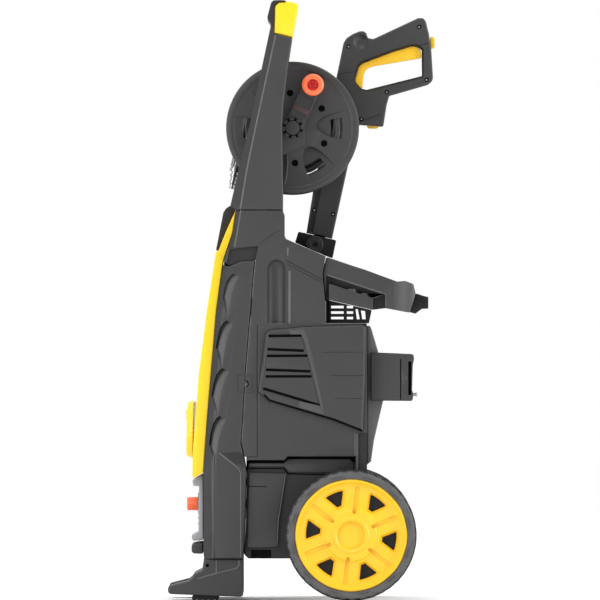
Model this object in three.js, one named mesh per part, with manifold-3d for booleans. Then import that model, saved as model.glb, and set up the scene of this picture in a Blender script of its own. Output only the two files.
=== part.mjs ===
// Upright electric pressure washer with a hose reel on its handle frame.
// Millimetres, +Z up. +X points to the rear (the wheels), -X to the front (the control knob).
// The origin is on the ground, under the middle of the machine.
import * as THREE from 'three'
import { mergeVertices } from 'three/addons/utils/BufferGeometryUtils.js'
import Module from 'manifold-3d'

const wasm = await Module()
wasm.setup()

// ---- driving dimensions ----
const gap = 0.3
const wall = 3
const sideWall = 7
const columnHalf = 122
const housingHalf = 112
const coverOuter = 128
const uprightInner = 99
const saddleHalf = 72
const chassisHalf = 106

const wheelRadius = 97.5
const rimRadius = 83.3
const wheelX = 73.2
const wheelInner = 131
const wheelOuter = 171
const axleRadius = 7

const reelX = -14.1
const reelZ = 705
const flangeRadius = 99.5
const flangeThick = 8
const drumRadius = 41
const woundRadius = 70
const reelNearY = -58
const reelFarY = 46
const spindleRadius = 9
const crankRadius = 71
const crankAngle = 64.7
const crankKnobRadius = 16.5

const hoseDiameter = 10
const gunMiddleY = 75
const gunHalf = 17
const gunLean = 0.1935

const knobRadius = 43
const knobLean = 1.5
const knobStart = [-162.1, 0, 254]
const knobDepth = 10.8
const baseZ = 62
const inletZ = 142.3
// How far a cutting tool runs past the face it cuts.
const over = 4

// ---- finishes ----
const finishes = {
  charcoal: { color: 0x4b4b4c, roughness: 0.62, metalness: 0 },
  black: { color: 0x262626, roughness: 0.7, metalness: 0 },
  lightGrey: { color: 0x97999d, roughness: 0.55, metalness: 0 },
  midGrey: { color: 0x6a6a6a, roughness: 0.6, metalness: 0 },
  yellow: { color: 0xffd62e, roughness: 0.45, metalness: 0 },
  orange: { color: 0xff5a2c, roughness: 0.45, metalness: 0 },
  rubber: { color: 0x303030, roughness: 0.9, metalness: 0 },
  chrome: { color: 0xd0d2d4, roughness: 0.2, metalness: 1 },
  brass: { color: 0xb8924a, roughness: 0.35, metalness: 1 },
  steel: { color: 0x9a9ca0, roughness: 0.35, metalness: 1 },
  aluminium: { color: 0xb4b6ba, roughness: 0.45, metalness: 1 },
}

// ---- solids ----
function toSolid(geometry) {
  geometry.deleteAttribute('normal')
  geometry.deleteAttribute('uv')
  const merged = mergeVertices(geometry, 0.001)
  const corners = merged.index.array
  const kept = []
  for (let i = 0; i < corners.length; i += 3) {
    const [a, b, c] = [corners[i], corners[i + 1], corners[i + 2]]
    if (a !== b && b !== c && c !== a) kept.push(a, b, c)
  }
  const vertProperties = new Float32Array(merged.attributes.position.array)
  const triVerts = new Uint32Array(kept)
  return new wasm.Manifold(new wasm.Mesh({ numProp: 3, vertProperties, triVerts }))
}

function toGeometry(solid) {
  const { vertProperties, triVerts } = solid.getMesh()
  const geometry = new THREE.BufferGeometry()
  geometry.setAttribute('position', new THREE.BufferAttribute(vertProperties, 3))
  geometry.setIndex(new THREE.BufferAttribute(triVerts, 1))
  geometry.computeVertexNormals()
  return geometry
}

// A span across the width on one side of the machine, given as distances from its middle.
const span = (side, from, to) => [side * from, side * to].sort((a, b) => a - b)
const bothSides = [-1, 1]

const cut = (solid, ...tools) => tools.reduce((left, tool) => left.subtract(tool), solid)
const join = (solid, ...more) => more.reduce((sum, part) => sum.add(part), solid)

// A side outline (x, z) pulled across the width from yLow to yHigh. `chamfer` bevels both ends and
// `inset` shrinks the outline.
function plate(points, yLow, yHigh, { chamfer = 0, inset = 0, holes = [] } = {}) {
  const shape = new THREE.Shape(points.map(([x, z]) => new THREE.Vector2(x, z)))
  shape.holes = holes.map((hole) => new THREE.Path(hole.map(([x, z]) => new THREE.Vector2(x, z))))
  const geometry = new THREE.ExtrudeGeometry(shape, {
    depth: yHigh - yLow - 2 * chamfer,
    bevelEnabled: chamfer > 0 || inset !== 0,
    bevelThickness: chamfer,
    bevelSize: chamfer,
    bevelOffset: -chamfer - inset,
    bevelSegments: chamfer > 0 ? 1 : 0,
  })
  geometry.rotateX(Math.PI / 2)
  geometry.translate(0, yHigh - chamfer, 0)
  return toSolid(geometry)
}

// An outline in plan (x, y) pulled up from zLow to zHigh.
function slab(points, zLow, zHigh) {
  const shape = new THREE.Shape(points.map(([x, y]) => new THREE.Vector2(x, y)))
  const geometry = new THREE.ExtrudeGeometry(shape, { depth: zHigh - zLow, bevelEnabled: false })
  geometry.translate(0, 0, zLow)
  return toSolid(geometry)
}

function block(xLow, xHigh, yLow, yHigh, zLow, zHigh) {
  const geometry = new THREE.BoxGeometry(xHigh - xLow, yHigh - yLow, zHigh - zLow)
  geometry.translate((xLow + xHigh) / 2, (yLow + yHigh) / 2, (zLow + zHigh) / 2)
  return toSolid(geometry)
}

// A cone or cylinder between two points.
function rod(from, to, radius, sides = 20, endRadius = radius) {
  const start = new THREE.Vector3(...from)
  const run = new THREE.Vector3(...to).sub(start)
  const geometry = new THREE.CylinderGeometry(endRadius, radius, run.length(), sides)
  geometry.translate(0, run.length() / 2, 0)
  const turn = new THREE.Quaternion().setFromUnitVectors(new THREE.Vector3(0, 1, 0), run.clone().normalize())
  geometry.applyQuaternion(turn)
  geometry.translate(...start.toArray())
  return toSolid(geometry)
}

// A round section turned about the Y axis: profile points are (radius, y), counter-clockwise.
function turned(profile, sides = 40) {
  const points = profile.map(([r, y]) => new THREE.Vector2(r, y))
  return toSolid(new THREE.LatheGeometry(points, sides))
}

function pipe(points, radius, sides = 10, steps = 24) {
  const path = new THREE.CatmullRomCurve3(points.map((p) => new THREE.Vector3(...p)), false, 'centripetal')
  const ring = Array.from({ length: sides }, (_, i) => new THREE.Vector2(...polar(radius, (360 * i) / sides)))
  const section = new THREE.Shape(ring)
  const settings = { steps, extrudePath: path, bevelEnabled: false }
  return toSolid(new THREE.ExtrudeGeometry(section, settings))
}

const polar = (radius, degrees) => {
  const angle = THREE.MathUtils.degToRad(degrees)
  return [radius * Math.cos(angle), radius * Math.sin(angle)]
}

// Outline of a ring segment between two radii, (x, z), about the group's own centre.
function sector(inner, outer, from, to, steps = 4, innerFrom = from, innerTo = to) {
  const points = []
  for (let i = 0; i <= steps; i++) points.push(polar(outer, from + ((to - from) * i) / steps))
  for (let i = 0; i <= steps; i++) points.push(polar(inner, innerTo + ((innerFrom - innerTo) * i) / steps))
  return points
}

function capsule(x0, z0, x1, z1, radius, steps = 6) {
  const heading = THREE.MathUtils.radToDeg(Math.atan2(z1 - z0, x1 - x0))
  const points = []
  for (let i = 0; i <= steps; i++) {
    const [x, z] = polar(radius, heading - 90 + (180 * i) / steps)
    points.push([x1 + x, z1 + z])
  }
  for (let i = 0; i <= steps; i++) {
    const [x, z] = polar(radius, heading + 90 + (180 * i) / steps)
    points.push([x0 + x, z0 + z])
  }
  return points
}

const machine = new THREE.Group()
const body = new THREE.Group()
const handle = new THREE.Group()
const rear = new THREE.Group()
const reel = new THREE.Group()
const gun = new THREE.Group()
reel.position.set(reelX, 0, reelZ)
machine.add(body, handle, rear, reel, gun)

function add(group, name, finish, solid) {
  const mesh = new THREE.Mesh(toGeometry(solid), new THREE.MeshStandardMaterial(finishes[finish]))
  mesh.name = name
  group.add(mesh)
  return mesh
}

// ---- column: front shell, spine, yellow front panel ----
const panelRear = [
  [-99, 581.5], [-100, 575], [-104, 548], [-118, 506], [-128, 433], [-142, 268], [-147.5, 190],
]
const panelFront = [
  [-163.5, 181], [-163.5, 213], [-156, 311], [-154, 337.5], [-142, 433], [-128.5, 520], [-124.5, 521.5],
  [-114, 548], [-106, 566],
]
const seam = [
  [-87, baseZ], [-84, 118], [-83, 194], [-88, 223], [-90.5, 233], [-88, 268], [-84, 339], [-76, 433],
  [-73, 475], [-70, 507],
]
const shift = (points, dx, dz = 0) => points.map(([x, z]) => [x + dx, z + dz])

const frontShellOutline = [
  ...shift(panelRear.slice(4), gap), [-147.2, 87], [-147, 69], [-146, baseZ],
  ...shift(seam, -gap), [-91, 506], [-109, 498], [-117.5, 500],
]
// A point on the rotary knob's axis, `distance` in front of the dial it turns on.
function onKnobAxis(distance) {
  const lean = THREE.MathUtils.degToRad(knobLean)
  return [knobStart[0] - distance * Math.cos(lean), 0, knobStart[2] + distance * Math.sin(lean)]
}
const knobBore = (radius) => rod(onKnobAxis(15), onKnobAxis(-52), radius)

// Each gill runs from its top end (x, z) to its bottom end (x, z).
const gills = [
  [-103.8, 486.5, -118.6, 446.2], [-110.7, 415, -128, 372], [-117.6, 343.3, -134.9, 298.5],
  [-120, 272.5, -137.1, 224.8],
]
const gillDepth = 2.5

function frontShell() {
  const outer = plate(frontShellOutline, -columnHalf, columnHalf, { chamfer: 3 })
  const room = plate(frontShellOutline, sideWall - columnHalf, columnHalf - sideWall, { inset: wall })
  const openBack = plate(shift(seam.slice(1, -1), 6).concat(shift(seam.slice(1, -1), -20).reverse()),
    sideWall - columnHalf, columnHalf - sideWall)
  const gillCuts = bothSides.flatMap((side) => gills.map(([x0, z0, x1, z1]) => {
    const outline = [[x0, z0], [x0 - 2, z0 - 24], [x1, z1], [x1 - 9, z1 + 2], [x0 - 22, z0 + 2]]
    return plate(outline, ...span(side, columnHalf - gillDepth, columnHalf + over))
  }))
  const inletHole = rod([-160, 0, inletZ], [-130, 0, inletZ], 10)
  return cut(outer, join(room, openBack), ...gillCuts, inletHole, knobBore(9))
}
add(body, 'front_shell', 'charcoal', frontShell())

const spineOutline = [
  [-86, 214], ...shift(seam.slice(3), gap), [-69.7, 507.7], [-91, 506.7], [-109, 498.7], [-116.6, 506],
  ...shift(panelRear.slice(0, 3).reverse(), gap), [-28.7, 581.5], [-26, 574], [-26, 544], [-24, 539],
  [-10.8, 533], [35.5, 513], [30.4, 487], [35, 440], [35, 413], [-67, 413], [-67, 214],
]

const bandOutline = [[-113, 499], [-70, 508.5], [-68, 528], [-99, 525], [-107, 522]]
const grooveX = -38.5
const grooveLow = 411
const grooveHigh = 508
const grooveRadius = 14.5

function spineShell() {
  const outer = plate(spineOutline, -columnHalf, columnHalf, { chamfer: 2 })
  const room = plate(spineOutline, sideWall - columnHalf, columnHalf - sideWall, { inset: wall })
  const openFront = plate([[-110, 240], [-70, 240], [-70, 480], [-90, 480]], 9 - columnHalf, columnHalf - 9)
  const along = (side, low, high, radius) =>
    rod([grooveX, side * (columnHalf + over), low], [grooveX, side * (columnHalf + over), high], radius, 20)
  const grooveBacks = bothSides.map((side) => along(side, grooveLow - 6, grooveHigh + 4, grooveRadius + 3.5))
  const saddle = block(-130, -5, -saddleHalf, saddleHalf, 548, 600)
  const saddleFloor = block(-105, -20, -saddleHalf - wall, saddleHalf + wall, 541, 548)
  const saddleRoom = cut(room, ...grooveBacks, block(-130, 0, -saddleHalf - wall, saddleHalf + wall, 544, 600))
  const underBand = bothSides.map((side) => plate(bandOutline, ...span(side, columnHalf - 4, columnHalf + over)))
  const gripGroove = bothSides.map((side) => along(side, grooveLow, grooveHigh, grooveRadius))
  const pipeHole = rod([-60, 85, 530], [-60, 85, 600], 8)
  return cut(outer, cut(saddleRoom, saddleFloor), openFront, saddle, ...underBand, ...gripGroove, pipeHole)
}
add(body, 'spine_shell', 'charcoal', spineShell())

const panelRoom = [
  [-119.5, 505], [-127, 502], [-140.6, 427], [-151, 337], [-153, 310], [-159.5, 213], [-159.5, 195],
  [-140, 195], [-136, 268], [-122, 433], [-112, 505],
]

function frontPanel() {
  const outer = plate([...panelRear, ...panelFront], -housingHalf, housingHalf)
  const room = plate(panelRoom, wall - housingHalf, housingHalf - wall)
  const dial = rod(onKnobAxis(0), onKnobAxis(-4), knobRadius - 1, 36)
  return cut(join(outer, dial), room, knobBore(9))
}
add(body, 'front_panel', 'yellow', frontPanel())

const capOutline = [
  [-100.2, 590], [-108.5, 588], [-114, 584], [-117.6, 578], [-128.6, 521.8], [-124.9, 522.4],
  [-114.4, 548.4], [-106.4, 566.4], [-100.2, 581],
]
add(body, 'front_cap', 'charcoal', plate(capOutline, -92, 92, { chamfer: 1.5 }))

const connectionOutline = [
  [-148, 187.5], [-160, 180.4], [-164, 178.3], [-162.5, 170.2], [-154, 169.8], [-155, 101.2], [-165, 96.2],
  [-165, 91.5], [-162.3, 88], [-148, 88.8],
]
const lipOutline = [[-148, 85], [-153.6, 84.8], [-165, 82.8], [-165, 72.8], [-162.3, 69.4], [-147.4, 68.7]]
const inletRod = (from, to, radius) => rod([from, 0, inletZ], [to, 0, inletZ], radius)
add(body, 'connection_panel', 'lightGrey', cut(plate(connectionOutline, -86, 86), inletRod(-170, -130, 9.4)))
add(body, 'lower_lip', 'charcoal', plate(lipOutline, -100, 100, { chamfer: 1 }))
add(body, 'water_inlet', 'brass', join(inletRod(-161, -33, 7.5), inletRod(-146, -141, 9)))
add(body, 'inlet_cap', 'orange', cut(inletRod(-172.5, -155.4, 10), inletRod(-168, -150, 7.9)))

function rotaryKnob() {
  const disc = rod(onKnobAxis(2 * gap), onKnobAxis(knobDepth), knobRadius, 36, knobRadius - 3.5)
  const dish = cut(disc, rod(onKnobAxis(knobDepth - 3), onKnobAxis(knobDepth + 2), 32, 24))
  const finger = block(-4, 4, -33, 33, -5, 5).translate(onKnobAxis(knobDepth - 4.3))
  return join(dish, finger, rod(onKnobAxis(-38), onKnobAxis(1.6), 6, 16))
}
add(body, 'rotary_knob', 'yellow', rotaryKnob())
add(body, 'switch_box', 'black', cut(block(-137, -97, -30, 30, 225, 280), knobBore(7.2)))

// ---- foot ----
const footOutline = [
  [-146.5, baseZ - gap], [-149, 44.6], [-161.1, 39.3], [-165, 32.6], [-169, 29.2], [-200, 21.2], [-200, 9.2],
  [-87.4, 4.7], [-87.4, baseZ - gap],
]
const padMiddle = 86
const padHalf = 22
const footArch = slab([[-210, -52], [-80, -52], [-80, 52], [-210, 52]], -5, 34)
const padSockets = bothSides.map((side) =>
  block(-164 - gap, -124.6 + gap, ...span(side, padMiddle - padHalf - gap, padMiddle + padHalf + gap), -5, 6.4))
add(body, 'foot', 'charcoal', cut(plate(footOutline, -118, 118, { chamfer: 3 }), footArch, ...padSockets))
for (const [name, side] of [['near', -1], ['far', 1]]) {
  const pad = block(-164, -124.6, ...span(side, padMiddle - padHalf, padMiddle + padHalf), 0, 6.1)
  add(body, `foot_pad_${name}`, 'rubber', pad)
}

// ---- handle frame, grip ----
const uprightOutline = [
  [-42, 845.6], [-46, 860], [-60.3, 793.1], [-78, 710.2], [-94.4, 642.3], [-107, 588.4], [-99, 582], [-28.5, 582],
  [-28.3, 605], [-29, 662.5], [-29.7, 705.8], [-27.6, 740], [-22.5, 784.3], [-19.7, 806], [-14.7, 839],
]
const rimOutline = [
  [-46, 859], [-51.8, 868], [-51.3, 871.5], [-46.2, 891], [-42.6, 894.6], [-34, 895], [-42.2, 888],
  [-42.4, 846.5],
]

function handleFrame() {
  const uprights = bothSides.map((side) =>
    plate(uprightOutline, ...span(side, uprightInner, columnHalf), { chamfer: 3 }))
  const rim = plate(rimOutline, -columnHalf, columnHalf, { chamfer: 1 })
  return join(rim, ...uprights)
}
add(handle, 'handle_frame', 'charcoal', handleFrame())

const gripTop = [[-41.6, 887.4], [-33.8, 894.4], [-25.5, 895], [-8, 891], [-5, 884.8]]
const gripOutline = [...gripTop, [-14.4, 839.5], [-42, 846.2]]
const barOutline = [...gripTop, [-9, 866], [-16, 859], [-36, 860], [-41.8, 866]]
function grip() {
  const ends = bothSides.map((side) =>
    plate(gripOutline, ...span(side, uprightInner - 2, columnHalf - 1), { chamfer: 4 }))
  return join(plate(barOutline, -uprightInner - 4, uprightInner + 4), ...ends)
}
add(handle, 'grip', 'yellow', grip())

// ---- reel: bracket and spindle on the frame, the rest turns about the spindle ----
const bracketOutline = [
  [-80, 728], [-14, 726], [2, 718], [7, 705], [2, 692], [-14, 684], [-46, 672], [-84, 672],
]
add(handle, 'reel_bracket', 'black', cut(
  plate(bracketOutline, reelFarY + 4, uprightInner - gap, { chamfer: 2 }),
  rod([reelX, 0, reelZ], [reelX, 90, reelZ], spindleRadius + gap, 24),
))
add(handle, 'reel_spindle', 'brass', rod([reelX, -44, reelZ], [reelX, 89, reelZ], spindleRadius, 24))
add(handle, 'supply_pipe', 'black', rod([-60, 85, 582.5], [-60, 85, 671.5], 6.5, 16))

const slotAngles = [0, 60, 120, 180, 240, 300]
function flange(yLow, yHigh, boreRadius, openAngles) {
  const outerFaceLow = yLow < 0
  const profile = outerFaceLow
    ? [[boreRadius, yLow], [90, yLow], [flangeRadius, yLow + 4], [flangeRadius, yHigh], [boreRadius, yHigh]]
    : [[boreRadius, yLow], [flangeRadius, yLow], [flangeRadius, yHigh - 4], [90, yHigh], [boreRadius, yHigh]]
  if (boreRadius > 0) profile.push(profile[0])
  const slots = openAngles.map((angle) => plate(sector(58, 76, angle - 12, angle + 12, 3), yLow - 1, yHigh + 1))
  const holes = [34, 94, 154, 214, 274, 334].map((angle) => {
    const [x, z] = polar(52.5, angle)
    return rod([x, yLow - 1, z], [x, yHigh + 1, z], 5, 8)
  })
  return cut(turned(profile, 40), ...slots, ...holes)
}
const nearInner = reelNearY + flangeThick
const farInner = reelFarY - flangeThick
const tube = (inner, outer, yLow, yHigh) =>
  turned([[inner, yLow], [outer, yLow], [outer, yHigh], [inner, yHigh], [inner, yLow]], 32)

// The near flange has no slot where the crank lies across it.
const nearAngles = slotAngles.filter((angle) => angle !== 60)
add(reel, 'reel_near_flange', 'charcoal', flange(reelNearY, nearInner, 0, nearAngles))
add(reel, 'reel_far_flange', 'charcoal', flange(farInner, reelFarY, spindleRadius + 0.5, slotAngles))
add(reel, 'reel_drum', 'black', tube(33, drumRadius, nearInner + gap, farInner - gap))
add(reel, 'hose_coil', 'black', tube(drumRadius + gap, woundRadius, nearInner + 0.6, farInner - 0.6))

const armFaces = [reelNearY - 8, reelNearY - gap]
const [crankX, crankZ] = polar(crankRadius, crankAngle)
const armPlate = plate(capsule(0, 0, crankX, crankZ, 14), ...armFaces, { chamfer: 1.5 })
add(reel, 'crank_arm', 'charcoal', cut(armPlate, rod([crankX, -80, crankZ], [crankX, 0, crankZ], 5.4, 16)))
add(reel, 'hub_cap', 'black', turned([[0, reelNearY - 12], [10, reelNearY - 12], [14, reelNearY - 10],
  [14, reelNearY - 8 - gap], [0, reelNearY - 8 - gap]], 24))

function crankKnob() {
  const [tip, base] = [reelNearY - 30, reelNearY - 8 - gap]
  const grippy = turned([
    [0, tip], [14, tip], [crankKnobRadius, tip + 4], [14.5, base], [5, base], [5, reelNearY - 1],
    [0, reelNearY - 1],
  ], 32)
  const lobes = [90, 210, 330].map((angle) => {
    const [x, z] = polar(4.5, angle)
    return rod([x, tip - 1, z], [x, tip + 4, z], 4, 12)
  })
  return cut(grippy, ...lobes)
}
add(reel, 'crank_knob', 'orange', crankKnob()).position.set(crankX, 0, crankZ)

// The loose end of the hose leaves the winding and ends in a plug.
const tailY = -10
const tailFoot = [-69.03, 14.79]
const tailRun = [-0.2095, -0.9778]
const onTail = (distance) => [tailFoot[0] + tailRun[0] * distance, tailY, tailFoot[1] + tailRun[1] * distance]
add(reel, 'hose_tail', 'black', rod(onTail(28.5), onTail(58), hoseDiameter / 2, 12))
// Each step of the plug: from, to (distances along the tail) and radius.
const plugSteps = [[58.3, 76, 8], [76, 82, 9], [82, 100, 5.5], [86, 89, 7], [100, 108, 4]]
add(reel, 'hose_plug', 'chrome', join(...plugSteps.map(([from, to, radius]) =>
  rod(onTail(from), onTail(to), radius, 16))))

// ---- spray gun ----
const gunOutline = [
  [62.5, 834.6], [67.2, 841.9], [76.8, 848.2], [86.2, 852], [92.5, 852.3], [96.8, 849.3], [99.3, 841.9],
  [107.2, 840.4], [174.6, 871.9], [182, 871.9], [186.2, 867.3], [191, 848.2], [194.5, 826], [197.2, 781.9],
  [195.6, 776.7], [189.3, 771.4], [131.4, 754.7], [127.5, 741.3], [122.4, 708.3], [86, 711.2], [69.3, 649.7],
  [45.3, 539.8], [6.6, 548.6], [16.6, 611],
]
const triggerOutline = [
  [91.2, 766.6], [93, 787.2], [96.8, 794.6], [105.2, 798.9], [180.2, 811.8], [178.4, 824.1], [172, 829.4],
  [165.2, 829.8], [136.7, 821.4], [89.8, 803.6], [84.8, 798.4], [79.6, 779], [80.6, 775], [87.5, 766.6],
]
const handRoom = [
  [97, 763], [181.5, 784.1], [181, 824.5], [173, 830.3], [165, 830.6], [136.4, 822.4], [89.2, 804.4], [84, 799],
  [78.6, 779], [80, 774.4], [87, 765.8],
]
const triggerPocket = [
  [75, 764], [75, 801], [84, 811], [134, 834], [164, 845], [183, 840], [183, 800], [97, 764],
]
const lockOutline = [[193, 826.2], [199, 826.2], [200, 830], [200, 840], [198, 843.8], [193, 843.8]]
const clipOutline = [[98, 718], [98, 708], [101, 705.5], [113, 705.5], [116, 708], [116, 718]]
const gunAxis = (z) => [26 + gunLean * (z - 541), gunMiddleY, z]
const triggerHalf = 11

function gunShell(yLow, yHigh) {
  const inner = [gunMiddleY - triggerHalf - 0.5, gunMiddleY + triggerHalf + 0.5]
  return cut(
    plate(gunOutline, yLow, yHigh, { holes: [handRoom] }),
    plate(triggerPocket, ...inner),
    rod(gunAxis(520), gunAxis(690), 9.4, 20),
    rod(gunAxis(689), gunAxis(757), 8.4, 20),
    block(97.5, 116.5, gunMiddleY - 9.5, gunMiddleY + 9.5, 700, 722),
    block(189, 205, gunMiddleY - 6.5, gunMiddleY + 6.5, 825.5, 844.5),
  )
}
add(gun, 'gun_shell_near', 'charcoal', gunShell(gunMiddleY - gunHalf, gunMiddleY - 0.15))
add(gun, 'gun_shell_far', 'charcoal', gunShell(gunMiddleY + 0.15, gunMiddleY + gunHalf))
const acrossGun = (half) => [gunMiddleY - half, gunMiddleY + half]
const barrel = join(rod(gunAxis(530), gunAxis(689), 9, 20), rod(gunAxis(527), gunAxis(532), 7, 20))
add(gun, 'lance_barrel', 'black', barrel)
add(gun, 'gun_valve', 'brass', rod(gunAxis(690.5), gunAxis(756), 8, 20))
add(gun, 'trigger', 'yellow', plate(triggerOutline, ...acrossGun(triggerHalf), { chamfer: 1 }))
add(gun, 'trigger_lock', 'yellow', plate(lockOutline, ...acrossGun(6)))
add(gun, 'hose_clip', 'yellow', plate(clipOutline, ...acrossGun(9)))

// ---- gun holder on the tray ----
const holderOutline = [
  [-5.4, 550.5], [5.6, 548.3], [6.4, 547.9], [45.1, 539.2], [51.6, 537.5], [46, 510.5], [35.7, 514.2],
  [-10.6, 534.2],
]
const holderPlate = plate(holderOutline, 54, 96, { chamfer: 1 })
add(handle, 'gun_holder', 'black', cut(holderPlate, rod(gunAxis(514), gunAxis(580), 9.6)))
const spineTop = plate([[-30, 542], [-10.8, 533.6], [36, 513.4], [36, 480], [-30, 480]], 40, 60)
add(handle, 'holder_boss', 'charcoal', cut(rod([19, 46, 531], [19, 53.7, 531], 13, 20), spineTop))

// ---- tray ----
const trayOutline = [
  [36.2, 512.2], [72, 500], [94.5, 492.8], [142, 475.3], [153.6, 476.4], [166.2, 471.8], [170, 458], [161, 428.7],
  [125.1, 435.5], [104.7, 433], [99.6, 434.5], [41.5, 447.5], [35.5, 447.5], [31, 487],
]
const binOutline = [[42, 530], [148, 500], [148, 452], [126, 452], [46, 462]]
const sideRecess = [[39.5, 483], [124, 455], [126, 452], [126, 430], [36, 430]]
const ledgeOutline = [[37, 473], [106, 451.5], [106, 435], [103, 434], [42, 448], [37, 448]]
const underOutline = [[46, 440], [100, 425], [118, 425], [118, 446], [46, 458]]
const trayHalf = 116
// Through holes in the side ledges that hold the spray nozzles.
const nozzleX = [73.8, 93.9]
const nozzleY = 108
const nozzleRadius = 5

function tray() {
  const outer = plate(trayOutline, -trayHalf, trayHalf, { chamfer: 2 })
  const bin = plate(binOutline, -90, 90)
  const sideCuts = bothSides.map((side) => plate(sideRecess, ...span(side, 101, trayHalf + 9)))
  const ledges = bothSides.map((side) => {
    const holes = nozzleX.map((x) => rod([x, side * nozzleY, 425], [x, side * nozzleY, 475], nozzleRadius, 12))
    return cut(plate(ledgeOutline, ...span(side, 94, trayHalf - 1)), ...holes)
  })
  const hollowUnder = plate(underOutline, -97, 97)
  return join(cut(outer, bin, ...sideCuts, hollowUnder), ...ledges)
}
add(rear, 'tray', 'charcoal', tray())
const trayEndOutline = [
  [170.4, 457.4], [173.5, 456.9], [180.9, 454.3], [189.3, 452.2], [189.3, 434.8], [179.4, 434.4], [170, 427.2],
  [161.6, 429.4],
]
add(rear, 'tray_end', 'black', plate(trayEndOutline, -30, 30, { chamfer: 1 }))

// Guard bars that close the gap between the tray and the motor housing on each side.
const guardOutline = [[36, 413], [100, 413], [104, 432.2], [99.4, 434], [41.4, 447], [36, 447]]
const guardRows = [418.8, 427, 435.3]
const slantedWindows = [[[82, 418.8], [87, 418.8], [84, 434], [80, 434]], [[90, 418.8], [96, 418.8], [95, 431], [88, 432]]]
function guard(side) {
  const slots = guardRows.flatMap((low) => [[43.5, 62.8], [67, 77]].map(([left, right]) =>
    block(left, right, ...span(side, 89, 94), low, low + 3.8)))
  const slanted = slantedWindows.map((outline) => plate(outline, ...span(side, 89, 94)))
  return cut(plate(guardOutline, ...span(side, 90, 93)), ...slots, ...slanted)
}
add(rear, 'guard_near', 'black', guard(-1))
add(rear, 'guard_far', 'black', guard(1))

// ---- motor housing, vented side covers, rear cover ----
const housingOutline = [[-66.5, 412.5], [97, 412.5], [97, 214.5], [-66.5, 214.5]]
const coverOutline = [
  [-54.5, 398.4], [-47, 403], [6.9, 408.2], [94.2, 411], [93, 333], [89.5, 251.2], [47.1, 267.8], [-49.5, 297],
  [-60.8, 306.8], [-65.4, 310], [-63, 333],
]
// The flank stands out round the side cover and runs down to the chassis in front and behind.
const flankOutline = [
  [-66.5, 412.5], [97, 412.5], [97, 190], [80, 190], [80, 214.5], [-22, 214.5], [-26, 209], [-82, 209],
  [-82, 213.6], [-66.5, 213.6],
]
const flankOuter = 121.7
function motorHousing() {
  const flanks = bothSides.map((side) => cut(
    plate(flankOutline, ...span(side, housingHalf - 2.5, flankOuter)),
    plate(coverOutline, ...span(side, housingHalf - 1, flankOuter + over), { inset: -gap }),
  ))
  const outer = join(plate(housingOutline, -housingHalf, housingHalf), ...flanks)
  const room = block(-63.5, 94, wall - housingHalf, housingHalf - wall, 200, 409)
  const airHoles = bothSides.flatMap((side) => [-30, 0, 30].map((x) =>
    block(x - 12, x + 12, ...span(side, housingHalf - 12, housingHalf + 8), 330, 385)))
  return cut(outer, room, ...airHoles)
}
add(body, 'motor_housing', 'charcoal', motorHousing())

const vents = [
  [[-52, 391], [-50, 374], [1, 374], [-3, 391]],
  [[-55, 361.5], [-53.5, 343], [12, 343], [8, 361.5]],
  [[-57, 331.5], [-57, 315], [24, 292], [15, 331.5]],
]
function sideCover(side) {
  const shell = cut(plate(coverOutline, ...span(side, housingHalf + gap, coverOuter)),
    plate(coverOutline, ...span(side, housingHalf - 2, coverOuter - wall), { inset: wall }))
  const tubs = vents.map((vent) => plate(vent, ...span(side, coverOuter - 10, coverOuter - 1), { inset: -2 }))
  const pockets = vents.map((vent) => plate(vent, ...span(side, coverOuter - 8, coverOuter + 2)))
  const slits = [[-50, -2, 388], [-50, -2, 375], [-52, 8, 358.6], [-52, 8, 344], [-54, 14, 328.6]].map(
    ([left, right, low]) => block(left, right, ...span(side, housingHalf - 2, coverOuter + 2), low, low + 2))
  return cut(join(shell, ...tubs), ...pockets, ...slits)
}
add(body, 'side_cover_near', 'charcoal', sideCover(-1))
add(body, 'side_cover_far', 'charcoal', sideCover(1))

const rearOutline = [
  [97.4, 408.8], [102, 408.8], [104.1, 403.3], [114, 370], [121.2, 297], [118, 283.3], [107.5, 237.8],
  [103.2, 206.7], [97.4, 201.8],
]
const rearRoom = [[90, 400], [99, 400], [111, 369], [118, 297], [104, 240], [100, 222], [90, 222]]
add(rear, 'rear_cover', 'lightGrey', cut(plate(rearOutline, -88, 88, { chamfer: 2 }), plate(rearRoom, -82, 82)))

const cordHolderOutline = [
  [102.6, 369], [166.2, 366.5], [167.5, 360.8], [165.5, 350], [164.4, 313.3], [166.5, 308], [165.5, 299.5],
  [163.3, 297], [102.6, 297.5],
]
add(rear, 'cord_holder', 'charcoal', cut(plate(cordHolderOutline, -100, 100, { chamfer: 1.5 }),
  block(90, 148, -91, 91, 290, 380), rod([150, 0, 306], [180, 0, 306], 2.9, 12)))
add(rear, 'holder_pin', 'steel', rod([161, 0, 306], [173, 0, 306], 2.5, 12))
add(rear, 'cable_gland', 'black', rod([97.3, 100, 224], [104.5, 100, 224], 7, 20, 6))

// ---- chassis ----
const chassisOutline = [
  [-86.5, 69], [-84.5, 66], [-80, baseZ], [50, baseZ], [79, 92], [79, 205], [72, 211], [-20, 211],
  [-27, 205], [-80, 205], [-82.6, 192], [-83.6, 118],
]
const collarHalf = 103
const slitOutline = [
  [-90, 195.5], [-28, 195.5], [-21, 187.5], [31, 185.5], [31, 187.5], [-20, 189.5], [-27, 197.5],
  [-90, 197.5],
]
const chassisRoom = [[-75, 230], [73, 230], [73, 95], [47, 66], [-75, 66]]

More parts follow.
